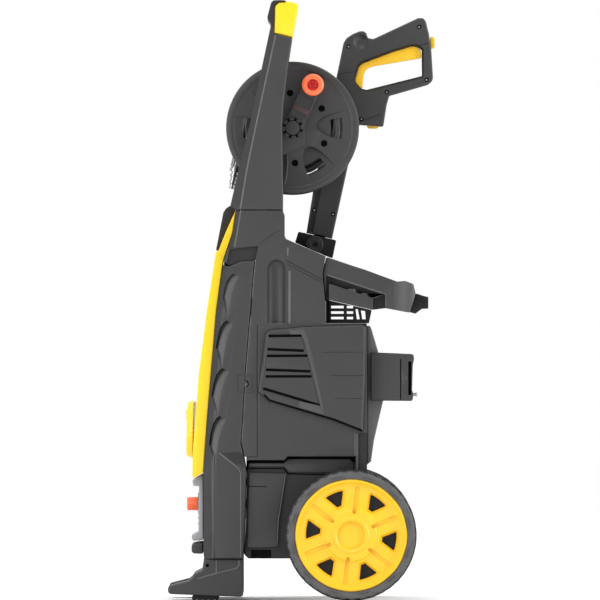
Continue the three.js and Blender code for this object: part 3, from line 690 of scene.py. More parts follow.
def makePlug(look):
    tailDown = (hosePoints[-1] - hosePoints[-2]).normalized()
    foot = hosePoints[-1] - tailDown * hose['tailLength']

    def knurled(radius, distance, degrees):
        grooved = 17.4 < radius * 2 and distance < look['start'] + 16
        return radius - (0.9 if grooved and math.sin(math.radians(degrees) * look['knurls']) > 0.3 else 0.0)

    s = look['start']
    profile = [(0, s), (7.2, s), (8, s + 0.8), (8, s + 2), (8.8, s + 2.6), (8.8, s + 15.4),
               (7.4, s + 16.2),
               (7.4, s + 17.2), (9, s + 18), (9, s + 22.6), (8.2, s + 23.4), (5.4, s + 23.6),
               (5.4, s + 27.2),
               (6.9, s + 27.8), (6.9, s + 30.2), (5.4, s + 30.8), (5.4, s + 34), (4.5, s + 34.4),
               (4.5, s + 36),
               (5.4, s + 36.4), (5.4, s + 41), (3.9, s + 42.4), (3.9, s + 48.4), (3.3, s + 49.2),
               (2.2, s + 49.2), (2.2, s + 44), (0, s + 44)]
    made = turned(profile, foot, tailDown, 56, knurled)
    made.data.materials.append(paint['chrome'])
    return finishUp(made, 'hose_plug_fitting', 'reel', ['hose_plug'], smooth=30)


plugObject = makePlug(plug)
tuple(hosePoints[0] * mm)
print('hose and plug made')

# The column: front shell, spine and shoulder, yellow panel.
column = {'half': 122.0, 'wall': 4.0, 'edge': 3.2, 'panelHalf': 112.0, 'groove': (14.2, -38.2, 126.5)}
panelRear = [(-99, 581.5), (-100, 575), (-104, 548), (-118, 506), (-128, 433), (-142, 268), (-147.5, 190)]
panelFront = [(-163.5, 181), (-163.5, 213), (-156, 311), (-154, 337.5), (-142, 433), (-128.5, 520),
              (-124.5, 521.5), (-114, 548), (-106, 566)]
seam = [(-87, 62), (-84, 118), (-83, 194), (-88, 223), (-90.5, 233), (-88, 268), (-84, 339), (-76, 433),
        (-73, 475), (-70, 507)]
shellOutline = shift(panelRear[4:], 0.3) + [(-147.2, 87), (-147, 69), (-146, 62)] + shift(seam, -0.5) + [
    (-91, 506), (-109, 498), (-117.5, 500)]
gills = [
    [(-101.5, 487.5), (-107, 483.5), (-111.8, 477), (-115.2, 467), (-118.2, 452)],
    [(-110.5, 416), (-115.5, 412.5), (-120, 406), (-123.6, 394), (-127, 375)],
    [(-116.5, 345), (-121.5, 341.5), (-126.6, 334), (-130.4, 321), (-133.6, 303)],
    [(-121, 273.5), (-126, 270), (-131, 262), (-134.6, 249), (-137, 230)],
]
inletZ = 142.3
# The knob leans back a little; the shell and the panel have holes for its stem.
knob = {'radius': 43.0, 'lean': 1.5, 'start': (-162.1, 0, 254.0), 'depth': 10.8, 'flutes': 30}
knobAhead = Vector((-math.cos(math.radians(knob['lean'])), 0, math.sin(math.radians(knob['lean']))))
knobUp = Vector((-knobAhead.z, 0, -knobAhead.x))
knobHole = (15, -52)


def onKnob(distance, side=0.0, up=0.0):  # a point by its distance along the knob's axis
    return Vector(knob['start']) + knobAhead * distance + Vector((0, side, 0)) + knobUp * up


columnScrew = {'x': -85, 'z': 323, 'seat': (-96, -74, 310, 336), 'bore': 5.4, 'depth': 4.4, 'radius': 4.0}


def seatScrew(outer, side, half, look):  # a shallow square with the screw's hole in its middle
    square = box2(*look['seat'])
    cutAway(outer, taper(offset(square, 0.3), side * (half + 0.1), square, side * (half - 0.8)))
    # the screw's hole is coloured black as painted shadow
    cutAway(outer, sink(look['x'], look['z'], side, half, look['bore'], look['depth']), finish=2)


def makeFrontShell(look):
    half = look['half']
    outer = dress(plate(shellOutline, -half, half, edge=look['edge'], steps=4, worn=0), *bodyFinish)
    room = plate(offset(shellOutline, -look['wall'] - 2), 14 - half, half - 14)
    back = plate(shift(seam[1:-1], 8) + shift(seam[1:-1], -20)[::-1], 14 - half, half - 14)
    cutAway(outer, room, back)
    frontLine = panelRear[3:] + [(-147.5, 100), (-147.2, 62)]
    for side in sides.values():
        crease = [(x + reach, z) for (x, z), reach in zip(frontLine, (7, 9, 10, 11, 14, 18))]
        # the front chamfer is coloured darker as painted shade
        cutAway(outer, slopeTool(side, half, frontLine, crease, 7.0), finish=3)
        for gill in gills:
            low = [(x + 7.5, z - drop) for (x, z), drop in zip(gill, (4, 10, 18, 26, 30))]
            # each gill scoop is coloured paler as painted light
            cutAway(outer, scoopTool(side, half, gill, low, 5.5), finish=4)
            # a black line along each gill: painted shadow
            shadow = stroke([(x - 0.8, z + 0.8) for x, z in gill], 1.7)
            cutAway(outer, plate(shadow, *span(side, half - 5.5, half + 2)), finish=2)
        # the two moulded lines are coloured paler as painted highlight
        for x in (-132.6, -129.0):  # two moulded lines down to the foot
            join(outer, bead([(x, 63), (x, 205), (x + 1.5, 218)], 1.5, side, half, 0.9), finish=1)
        # the recessed panel is coloured paler as painted light
        panel = rounded([(-126, 55), (-126, 220.5), (-95, 197.5), (-91.8, 190), (-91.8, 55)], 4)
        cutAway(outer, taper(offset(panel, 1.6), side * (half + 0.2), panel, side * (half - 1.6)),
                finish=4)
        # the corner above the fold is coloured darker as painted shade
        corner = [(-121.5, 222.5), (-86, 224), (-82, 200), (-91, 199), (-94, 200.5)]
        cutAway(outer, taper(offset(corner, 1.0), side * (half + 0.2), corner, side * (half - 1.2)),
                finish=3)
        # the fold line bead is coloured paler as painted highlight
        join(outer, bead([(-123.5, 219.5), (-95.5, 197.6), (-91.6, 190), (-91.2, 64)],
                         1.7, side, half, 0.8), finish=1)
        seatScrew(outer, side, half, columnScrew)
    cutAway(outer, rod((-172, 0, inletZ), (-130, 0, inletZ), 10.5),
            rod(onKnob(knobHole[0]), onKnob(knobHole[1]), 10))
    return finishUp(outer, 'front_shell_skin', 'frame', ['front_shell'])


makeFrontShell(column)

spineOutline = [(-86, 214)] + shift(seam[3:], 0.5) + [(-69.7, 507.7), (-91, 506.7), (-109, 498.7),
                                                      (-116.6, 506),
    (-103.7, 548), (-99.7, 575), (-98.7, 581.2), (-28.7, 581.2), (-26, 574), (-26, 544), (-24, 539),
                                                      (-10.8, 533),
    (35.5, 513), (30.4, 487), (35, 440), (35, 413), (-67, 413), (-67, 214)]


def makeSpine(look):
    half = look['half']
    outer = dress(plate(spineOutline, -half, half, edge=2.4, steps=3), *bodyFinish)
    saddleHalf = 72  # the notch that the reel's hose runs over
    room = plate(offset(spineOutline, -look['wall']), 8 - half, half - 8)
    for side in sides.values():
        cutAway(room, rod((-38.5, side * 126, 400), (-38.5, side * 126, 514), 19))
    cutAway(room, block(-130, 0, -saddleHalf - 4, saddleHalf + 4, 544, 600),
            block(-110, -18, -saddleHalf - 4, saddleHalf + 4, 536, 550))
    cutAway(outer, room, block(-130, -5, -saddleHalf, saddleHalf, 548, 600),
            plate([(-110, 240), (-70, 240), (-70, 480), (-90, 480)], 10 - half, half - 10))
    # black fillers behind the joints with the tray and the front shell: painted shadow in the gaps
    join(outer, plate([(28, 505), (41, 499), (41, 413.4), (28, 413.4)], -100, 100), finish=2)
    join(outer, plate([(-116, 511), (-106, 511), (-104, 493), (-117, 493)], -106, 106), finish=2)
    radius, grooveX, grooveY = look['groove']  # a round channel down each flank
    for side in sides.values():
        channel = turned([(radius, 0), (radius, 84), (radius * 0.92, 89.5), (radius * 0.71, 94),
                          (radius * 0.38, 97),
                          (0, 98)], (grooveX, side * grooveY, 411), (0, 0, 1), 48)
        cutAway(outer, channel)
        # the undercut band under the shoulder is coloured darker as painted shade
        band = [(-113, 499), (-70, 508.2), (-66.5, 527.2), (-99, 524.2), (-107, 522)]
        cutAway(outer, taper(offset(band, 0.8), side * (half + 0.2), band, side * (half - 4.2)), finish=3)
        # the neck's front chamfer is coloured darker as painted shade
        neck = [(-99, 583), (-100, 575), (-104, 548), (-113, 524)]
        crease = [(-90.5, 583), (-92.2, 575), (-96.2, 548), (-102.5, 524)]
        cutAway(outer, slopeTool(side, half, neck, crease, 8.0), finish=3)
        # shallow crease lines coloured darker as painted shade
        for line, width, depth in (([(-63, 531), (-56, 536.5), (-35, 551.5)], 1.0, 0.8),
                                   ([(-24, 507), (42, 472)], 1.1, 0.9),
                                   ([(-24, 502.5), (34, 471.5)], 0.9, 0.7)):
            cutAway(outer, plate(stroke(line, width), *span(side, half - depth, half + 2)), finish=3)
        # paler beads: painted highlight strips
        join(outer, bead([(-18.6, 412), (-18.6, 491)], 3.6, side, half, 1.2), finish=1)
        join(outer, bead([(34.2, 415), (34.2, 446)], 3.4, side, half - 2, 1.4), finish=1)
        join(outer, bead([(-21.4, 514), (-21.2, 526)], 2.4, side, half, 0.7), finish=1)
        join(outer, bead([(-91, 582), (-96.2, 550), (-101, 527)], 2.2, side, half - 0.8, 0.9), finish=1)
        seatScrew(outer, side, half, columnScrew)
    cutAway(outer, rod((-60, 85, 530), (-60, 85, 600), 8.5))
    return finishUp(outer, 'spine_shell_skin', 'frame', ['spine_shell'])


makeSpine(column)
for sideName, side in sides.items():
    head = screw(columnScrew['x'], columnScrew['z'], side, column['half'] - 1.0, columnScrew['radius'])
    finishUp(head, 'column_screw_' + sideName, 'frame')
print('column made')


def makeFrontPanel(look):
    half = look['panelHalf']
    outline = rounded(panelRear + panelFront, 3, keep=(0,))
    outer = dress(plate(outline, -half, half, edge=3.0, steps=4), 'panelYellow', 'charcoalDarkAndPaintedShade',
                  'lightGrey')
    room = plate([(-119.5, 505), (-127, 502), (-140.6, 427), (-151, 337), (-153, 310), (-159.5, 213),
                  (-159.5, 195), (-140, 195), (-136, 268), (-122, 433), (-112, 505)], 3 - half, half - 3)
    dial = turned([(0, -4), (41.5, -4), (41.5, -0.7), (40.8, 0), (0, 0)], onKnob(0), knobAhead, 96)
    join(outer, dial, finish=2)
    cutAway(outer, room, rod(onKnob(knobHole[0]), onKnob(knobHole[1]), 9.5))
    for i in range(15):  # plain tick marks round the dial
        across, tall = polar(38.6, -52 + 284 * i / 14)
        join(outer, rod(onKnob(-2, across, tall), onKnob(0.3, across, tall), 1.2, sides=10), finish=1)
    return finishUp(outer, 'front_panel_skin', 'frame', ['front_panel'])


makeFrontPanel(column)

capOutline = [(-100.2, 590), (-108.5, 588), (-114, 584), (-117.6, 578), (-128.6, 521.8), (-124.9, 522.4),
              (-114.4, 548.4), (-106.4, 566.4), (-100.2, 581)]
finishUp(dress(plate(rounded(capOutline, 4), -92, 92, edge=2.2, steps=4), 'charcoalDarkAndPaintedShade'),
         'front_cap_skin', 'frame', ['front_cap'])


def makeConnectionPanel():
    outline = [(-148, 187.5), (-160, 180.4), (-164, 178.3), (-162.5, 170.2), (-154, 169.8), (-155, 101.2),
               (-165, 96.2), (-165, 91.5), (-162.3, 88), (-148, 88.8)]
    outer = dress(plate(rounded(outline, 1.6), -86, 86, edge=2.0, steps=3), 'lightGrey', 'midGrey')
    for side in sides.values():
        for z in (112, 121, 130):  # moulded ribs beside the inlet
            join(outer, block(-155.8, -150, *span(side, 30, 78), z, z + 2.4))
    ringProfile = [(11.5, 0), (16, 0), (17, 1.2), (16.4, 3.2), (12.4, 3.2), (11.5, 2.4)]
    join(outer, turned(ringProfile, (-152.6, 0, inletZ), (-1, 0, 0), 40, ring=True), finish=1)
    cutAway(outer, rod((-175, 0, inletZ), (-130, 0, inletZ), 9.6, sides=32))
    return finishUp(outer, 'connection_panel_skin', 'frame', ['connection_panel'],
                    smooth=32)


makeConnectionPanel()
lipOutline = [(-148, 85), (-153.6, 84.8), (-165, 82.8), (-165, 72.8), (-162.3, 69.4), (-147.4, 68.7)]
finishUp(dress(plate(rounded(lipOutline, 3), -100, 100, edge=2.4, steps=3), 'charcoal'), 'lower_lip_skin',
         'frame', ['lower_lip'])


def fluted(count, depth, fromRadius):  # finger grooves round a turned part
    def swell(radius, distance, degrees):
        if radius < fromRadius:
            return radius
        return radius - depth * (0.5 + 0.5 * math.cos(math.radians(degrees) * count)) ** 3
    return swell


def makeInletCap():
    profile = [(0, 0), (8.6, 0), (9.6, 0.9), (10, 2), (10, 15.6), (9.4, 17), (8.0, 17), (8.0, 5),
               (0, 4.5)]
    made = dress(turned(profile, (-172.4, 0, inletZ), (1, 0, 0), 120, fluted(20, 0.7, 9.5)), 'orange')
    return finishUp(made, 'inlet_cap_skin', 'inlet_cap', ['inlet_cap'], smooth=40)


makeInletCap()


def makeKnob(look):
    rim, top = look['radius'], look['depth']
    profile = [(0, -38), (6, -38), (6, 0.6), (rim - 1.5, 0.6), (rim, 2), (rim - 0.6, 4),
               (rim - 2.6, top - 1.6),
               (rim - 4.4, top - 0.2), (rim - 7, top), (rim - 9.5, top - 1.6), (rim - 11.4, top - 3.6),
               (0, top - 4)]
    body = dress(turned(profile, onKnob(0), knobAhead, 180, fluted(look['flutes'], 0.9, rim - 3.6)),
                 'panelYellow', 'charcoalDarkAndPaintedShade')
    sections = []
    for depth, wide, tall in ((top - 6, 6.4, 31.6), (top - 3, 6.0, 31.4), (top - 1, 5.0, 30.8),
                              (top, 3.6, 29.6)):
        outline = rounded([(-wide, -tall), (wide, -tall), (wide, tall), (-wide, tall)], 3.4, 6)
        sections.append([tuple(onKnob(depth, a, b)) for a, b in outline])
    join(body, rings(sections))
    pointer = box2(-0.9, 0.9, 14, 27)
    join(body, rings([[tuple(onKnob(depth, a, b)) for a, b in pointer] for depth in (top - 0.4,
                                                                                     top + 0.3)]),
         finish=1)
    return finishUp(body, 'rotary_knob_skin', 'rotary_knob', ['rotary_knob'], smooth=40)


makeKnob(knob)
print('front made')

# The front foot and its rubber pads.
footOutline = [(-146.5, 61.7), (-149, 44.6), (-161.1, 39.3), (-165, 32.6), (-169, 29.2), (-200, 21.2),
               (-200, 9.2), (-87.4, 4.7), (-87.4, 61.7)]


foot = {'half': 118, 'gapHalf': 52, 'padY': 86, 'padHalf': 22.3, 'grooves': 4}


def makeFoot(look):
    half, gap, padY = look['half'], look['gapHalf'], look['padY']
    outer = dress(plate(rounded(footOutline, 6, keep=(0, 8)), -half, half, edge=3.2, steps=4),
                  *bodyFinish)
    cutAway(outer, slab([(-210, -gap), (-80, -gap), (-80, gap), (-210, gap)], -5, 34))
    for side in sides.values():
        cutAway(outer, block(-164.3, -124.3, *span(side, padY - look['padHalf'], padY + look['padHalf']),
                             -5, 6.4))
        # paler beads as painted highlight lines, and a hole coloured black as painted shadow
        for line in ([(-155.5, 32), (-142, 36.4), (-97.6, 47.8), (-94, 52), (-94, 60)],
                     [(-127.8, 38.6), (-127.8, 60)]):
            join(outer, bead(line, 1.8, side, half, 0.8), finish=1)
        cutAway(outer, sink(-141, 52, side, half, 2.4, 3), finish=2)
    return finishUp(outer, 'foot_skin', 'frame', ['foot'])


def makePad(side, look):
    pad = [(-164 + 2, -22), (-124.6 - 2, -22), (-124.6, -20), (-124.6, 20), (-126.6, 22), (-162, 22),
           (-164, 20), (-164, -20)]
    middle = side * look['padY']
    base = slab([(x, y + middle) for x, y in pad], 0.0, 6.1)
    for k in range(look['grooves']):  # grip grooves across the sole
        x = -158 + k * 9
        cutAway(base, block(x, x + 2.2, middle - 30, middle + 30, -2, 1.2))
    name = nameOf(side)
    return finishUp(dress(base, 'rubber'), 'foot_pad_skin_' + name, 'frame',
                    ['foot_pad_' + name], lip=0.6)


makeFoot(foot)
for side in sides.values():
    makePad(side, foot)
print('foot made')

# The handle: two posts, a rail over their top and the grip.
uprightOutline = [(-42, 845.6), (-46, 860), (-60.3, 793.1), (-78, 710.2), (-94.4, 642.3), (-107, 588.4),
                  (-99, 582), (-28.5, 582), (-28.3, 605), (-29, 662.5), (-29.7, 705.8), (-27.6, 740),
                  (-22.5, 784.3), (-19.7, 806), (-14.7, 839)]
railOutline = [(-46, 859), (-51.8, 868), (-51.3, 871.5), (-46.2, 891), (-42.6, 894.6), (-34, 895),
               (-26, 894.6),
               (-23.6, 893.4), (-27, 892.7), (-35, 892.4), (-41.2, 887), (-42.4, 846.5)]
creaseLine = [(-39, 846), (-50.5, 793.1), (-68.6, 710.2), (-82.6, 642.3), (-91.3, 590), (-92.2, 580)]
frontLine = [(-46, 860), (-60.3, 793.1), (-78, 710.2), (-94.4, 642.3), (-106, 590), (-107, 580)]


def makeUpright(side):
    half = column['half']
    low, high = span(side, 99, half)
    outer = dress(plate(uprightOutline, low, high, edge=2.6, steps=3), *bodyFinish)
    # the front chamfer is coloured darker as painted shade
    cutAway(outer, slopeTool(side, half, frontLine, creaseLine, 9.0, beyond=0.5), finish=3)
    line = [(x + 0.4, z) for x, z in creaseLine[:-1]] + [(-92.2, 583.5)]
    # a paler bead on the crease: painted highlight
    join(outer, bead([(-39.6, 842)] + line[1:], 2.2, side, half - 0.5, 0.8), finish=1)
    # a shallow channel on the hidden inner face
    cutAway(outer, plate([(-52, 800), (-78, 690), (-92, 610), (-44, 610), (-44, 700), (-38, 800)],
                         *span(side, 96, 103)))
    return outer


def makeHandle():
    half = column['half']
    rail = dress(plate(rounded(railOutline, 2.4, keep=(11,)), -half, half, edge=1.6, steps=3),
                 'charcoalDarkAndPaintedShade')
    uprights = [makeUpright(side) for side in sides.values()]
    finishUp(merged('handle_posts', uprights), 'handle_posts', 'frame', ['handle_frame'])
    finishUp(rail, 'handle_front_rail', 'frame')


def makeGrip():
    half = column['half']
    barOutline = [(-41, 886.6), (-34.4, 892), (-26.6, 892.3), (-22.6, 893.4), (-8, 890.6), (-5, 884.8),
                  (-9, 866), (-16, 859), (-36, 860), (-41.8, 866)]
    sleeveOutline = [(-41, 886.6), (-34.4, 892), (-26.6, 892.3), (-22.6, 893.4), (-8, 890.6), (-5, 884.8),
                     (-14.4, 839.5), (-42, 846.2)]
    outer = dress(plate(rounded(barOutline, 7), -103, 103), 'panelYellow', 'charcoalDarkAndPaintedShade')
    for side in sides.values():
        low, high = span(side, 97, half - 1)
        join(outer, plate(rounded(sleeveOutline, 5, keep=(1, 2, 6, 7)), low, high, edge=4.0, steps=5))
    for k in range(-4, 5):  # finger ribs under the bar
        cutAway(outer, rod((-40, k * 20, 857.2), (-8, k * 20, 857.2), 2.6, sides=16))
    return finishUp(outer, 'grip_skin', 'frame', ['grip'], smooth=42)


makeHandle()
makeGrip()
print('handle made')

# The reel: two flanges, drum, crank and hub.
reel = {'radius': 99.5, 'nearFace': 58.0, 'nearInner': 50.0, 'farFace': 46.0, 'farInner': 38.0,
        'bore': 9.6,
        'slotAngles': (0, -60, -120, 180, 120), 'holeAngles': (34, 94, 154, 214, 274, 334),
        'holeRadius': 5.0,
        'hubAt': 52.5, 'nearSlotEnd': 75.0, 'farSlotEnd': 71.6}


def atReel(points):
    return [(x + reelX, z + reelZ) for x, z in points]


def turnedBy(points, degrees):
    c, s = math.cos(math.radians(degrees)), math.sin(math.radians(degrees))
    return [(x * c - z * s, x * s + z * c) for x, z in points]


pocketOutline = [(35.6, 3), (36.6, 9), (41, 14), (50, 19), (62, 23.5), (80, 28.5), (86, 14), (88, 0),
                 (88.5, -18.5), (70, -17.5), (55, -13.5), (43, -7), (37, -2)]


def sunkTool(points, side, face, floorAt):  # a cutter whose floor depth follows floorAt(x, z)
    top = [(x, side * (face + 2), z) for x, z in points]
    lip = [(x, side * face, z) for x, z in points]
    small = offset(points, -1.8)
    if area(points) < 0:
        small = small[::-1]
    floor = [(x, side * (face - floorAt(x, z)), z) for x, z in small]
    return rings([top, lip, floor])


def makeFlange(side, look):
    name = nameOf(side)
    face, inner = look[name + 'Face'], look[name + 'Inner']
    bore = 0 if side < 0 else look['bore']  # only the far flange goes over the spindle
    rim = look['radius']
    profile = [(bore, inner), (rim - 1.2, inner), (rim, inner + 1.2), (rim, inner + 4.2),
               (rim - 1.6, inner + 6.6),
               (rim - 5, face - 0.4), (rim - 8, face), (rim - 10.5, face - 0.5), (rim - 12, face - 1.4),
               (44, face - 1.6),
               (41, face - 1.2), (39.5, face - 0.6), (bore, face - 0.6)]
    base = turned(profile, (reelX, 0, reelZ), (0, side, 0), 144, ring=bore > 0)
    dress(base, *bodyFinish)
    for angle in look['slotAngles']:
        outline = atReel(turnedBy(rounded(pocketOutline, 4), angle))

        def floorAt(x, z):
            reach = math.hypot(x - reelX, z - reelZ)
            return 1.6 + 4.2 * min(1.0, max(0.0, (84 - reach) / 30))

        cutAway(base, sunkTool(outline, side, face, floorAt))
        # the slot's walls are coloured black as painted shadow
        slot = atReel(turnedBy(rounded(sector(57.5, look[name + 'SlotEnd'], -12.5, 12.5, 6), 2), angle))
        cutAway(base, plate(slot, *span(side, inner - 2, face + 2)), finish=2)
        rail = atReel(turnedBy(sector(64.4, 68.4, -13.2, 13.2, 6), angle))
        join(base, plate(rail, *span(side, inner + 0.4, inner + 2.8)))
    for angle in look['holeAngles']:
        x, z = polar(look['hubAt'], angle)
        # hub holes coloured black as painted shadow
        cutAway(base, plate(atReel(circle(x, z, look['holeRadius'], 24)),
                            *span(side, face - 6, face + 2)), finish=2)
    for angle in look['holeAngles']:
        if side > 0 or angle in (154, 214, 334):
            for turn in (-13, 13):  # ribs each side of a hole
                line = atReel([polar(44, angle + turn * 0.4), polar(84, angle + turn)])
                join(base, bead(line, 1.6, side, face - 1.6, 0.9))
    if side < 0:
        bay = [(7.2, 50.1), (8.6, 70), (11.3, 86), (26, 83), (44, 74), (58.8, 62.3), (38.4, 40.6),
               (30, 22), (12, 20), (0, 30)]
        bayOutline = atReel(rounded(bay, 4))
        # the bay is coloured darker as painted shade
        cutAway(base, taper(offset(bayOutline, 1.0), -face - 0.2, bayOutline, -face + 3.0), finish=3)
        # paler beads: painted highlight lines
        for line in ([(11.9, 86), (9.2, 70), (7.6, 50.5)], [(58.4, 61.4), (38.8, 41)]):
            join(base, bead(atReel(line), 1.6, side, face - 1.6, 1.3), finish=1)
        hubPlate = [(18.7, 9), (18.2, -24.8), (-14.5, -41), (-44, -25), (-45, 11), (-15, 36)]
        join(base, plate(atReel(rounded(hubPlate, 3)), -face + 0.1, -face + 2.5, edge=0.8, steps=2,
                         ends='low'))
        # paler beads: painted highlight lines
        for line in ([(18.7, -2), (18.2, -24)], [(-7.8, -42.2), (-7.2, -55), (-9, -72), (-11.8, -84.3)]):
            join(base, bead(atReel(line), 1.6, side, face - 1.5, 1.4), finish=1)
    return finishUp(base, 'reel_flange_' + name, 'reel', ['reel_%s_flange' % name], smooth=30)


for side in sides.values():
    makeFlange(side, reel)


def makeDrum():
    profile = [(33, -49.5), (41, -49.5), (41, 37.5), (33, 37.5)]
    made = dress(turned(profile, (reelX, 0, reelZ), (0, 1, 0), 96, ring=True), 'black')
    cutAway(made, rod((reelX + 44, -45, reelZ), (reelX + 20, -45, reelZ), 2.5))
    return finishUp(made, 'reel_drum_skin', 'reel', ['reel_drum'], lip=0.5)


makeDrum()
crank = {'radius': 71.0, 'angle': 64.7, 'half': 13.8, 'knobRadius': 16.5}
crankTip = polar(crank['radius'], crank['angle'])


def makeCrank(look):
    outline = atReel(capsule((0, 0), crankTip, look['half'], 14))
    arm = dress(plate(outline, -66, -58.4, edge=1.8, steps=4, ends='low'), *bodyFinish)
    along = Vector(polar(1, look['angle']))
    across = Vector((-along.y, along.x))

    def onArm(a, b):
        spot = along * a + across * b
        return (spot.x, spot.y)

    window = [onArm(22, -10.5), onArm(50, -10.5), onArm(50, 10.5), onArm(22, 10.5)]
    lowered = atReel(rounded(window, 3))
    cutAway(arm, taper(offset(lowered, 0.8), -66.2, lowered, -65.2))
    # a ditch round the band, coloured darker as painted shade
    ditch = atReel([onArm(26, -16), onArm(34, -16), onArm(34, 16), onArm(26, 16)])
    cutAway(arm, plate(ditch, -70, -64.4), finish=3)
    cutAway(arm, rod((reelX + crankTip[0], -80, reelZ + crankTip[1]),
                     (reelX + crankTip[0], 0, reelZ + crankTip[1]), 5.6))
    finishUp(arm, 'crank_arm_skin', 'reel', ['crank_arm'])
    band = atReel([onArm(26.3, -13.6), onArm(33.7, -13.6), onArm(33.7, 13.6), onArm(26.3, 13.6)])
    finishUp(dress(plate(band, -65.8, -64.3, edge=0.4, steps=2, ends='low'), 'brownBand'),
             'crank_fold_band', 'reel')
    # hub: a ring of castle teeth round a flat cap, on a base disc coloured black as painted shadow between
    # the teeth
    base = dress(turned([(0, 0), (15.4, 0), (15.8, 0.5), (15.8, 1.4), (0, 1.4)], (reelX, -66.6, reelZ),
                        (0, -1, 0), 64),
                 'paintedShadowBlack', 'charcoal')
    join(base, plate(atReel(circle(0, 0, 10.6, 48)), -70, -67, edge=0.8, steps=3, ends='low'), finish=1)
    for k in range(8):
        tooth = atReel(sector(11.6, 15.6, 45 * k - 9, 45 * k + 20, 5))
        join(base, plate(tooth, -69.4, -67, edge=0.5, steps=2, ends='low'), finish=1)
    finishUp(base, 'hub_cap_skin', 'reel', ['hub_cap'], smooth=32)


makeCrank(crank)


def makeCrankKnob(look):
    middle = (reelX + crankTip[0], 0, reelZ + crankTip[1])
    r = look['knobRadius']
    profile = [(0, -59.2), (4.8, -59.2), (4.8, -66.4), (14.2, -66.4), (14.8, -67.2), (r - 1, -78),
               (r, -83), (r - 0.4, -85.6),
               (r - 2, -87.4), (r - 4, -88), (8.9, -87.6), (8.5, -86.8), (8.5, -83), (0, -83)]
    made = dress(turned(profile, middle, (0, 1, 0), 96), 'orange', 'deepRed')
    insert = dress(turned([(0, -82.8), (8.3, -82.8), (8.3, -86.2), (7.8, -86.8), (0, -86.8)], middle,
                          (0, 1, 0), 48),
                   'deepRed')
    for angle in (95, 215, 335):
        x, z = polar(4.3, angle)
        cutAway(insert, rod((middle[0] + x, -90, middle[2] + z), (middle[0] + x, -84.2, middle[2] + z),
                            3.1))
        dome = turned([(2.7, -83), (2.7, -85), (2.2, -86), (1.2, -86.5), (0, -86.6)],
                      (middle[0] + x, 0, middle[2] + z), (0, 1, 0), 20)
        join(insert, dome)
    finishUp(insert, 'crank_knob_insert', 'crank_knob')
    return finishUp(made, 'crank_knob_skin', 'crank_knob', ['crank_knob'])


makeCrankKnob(crank)
bracketOutline = [(-80, 728), (-14, 726), (2, 718), (7, 705), (2, 692), (-14, 684), (-46, 672),
                  (-84, 672)]
bracket = dress(plate(rounded(bracketOutline, 6), 50, 98.7, edge=2.4, steps=3), 'black')
cutAway(bracket, rod((reelX, 0, reelZ), (reelX, 90, reelZ), 9.4, sides=40))
finishUp(bracket, 'reel_bracket_skin', 'frame', ['reel_bracket'])
print('reel made')

# The spray gun.
gun = {'middle': 75.0, 'half': 17.0, 'lean': 0.1935, 'axisX': 26, 'axisZ': 541, 'screwY': 60.5}
gunOutline = [
    (62.5, 834.6), (67.2, 841.9), (76.8, 848.2), (86.2, 852), (92.5, 852.3), (96.8, 849.3), (99.3, 841.9),
    (107.2, 840.4), (174.6, 871.9), (182, 871.9), (186.2, 867.3), (191, 848.2), (194.5, 826),
              (197.2, 781.9),
    (195.6, 776.7), (189.3, 771.4), (131.4, 754.7), (127.5, 741.3), (122.4, 708.3), (86, 711.2),
              (69.3, 649.7),
    (45.3, 539.8), (6.6, 548.6), (16.6, 611)]
handRoom = [(97, 763), (181.5, 784.1), (181, 824.5), (173, 830.3), (165, 830.6), (136.4, 822.4),
            (89.2, 804.4),
            (84, 799), (78.6, 779), (80, 774.4), (87, 765.8)]
triggerPocket = [(75, 764), (75, 801), (84, 811), (134, 834), (164, 845), (183, 840), (183, 800),
                 (97, 764)]
gunScrews = [(70, 829), (176.4, 858.8), (187.5, 779.2), (127.5, 760.5), (89.2, 720), (46.5, 576.8),
             (18.5, 583)]


def gunAxis(z, look=gun):
    return (look['axisX'] + look['lean'] * (z - look['axisZ']), look['middle'], z)


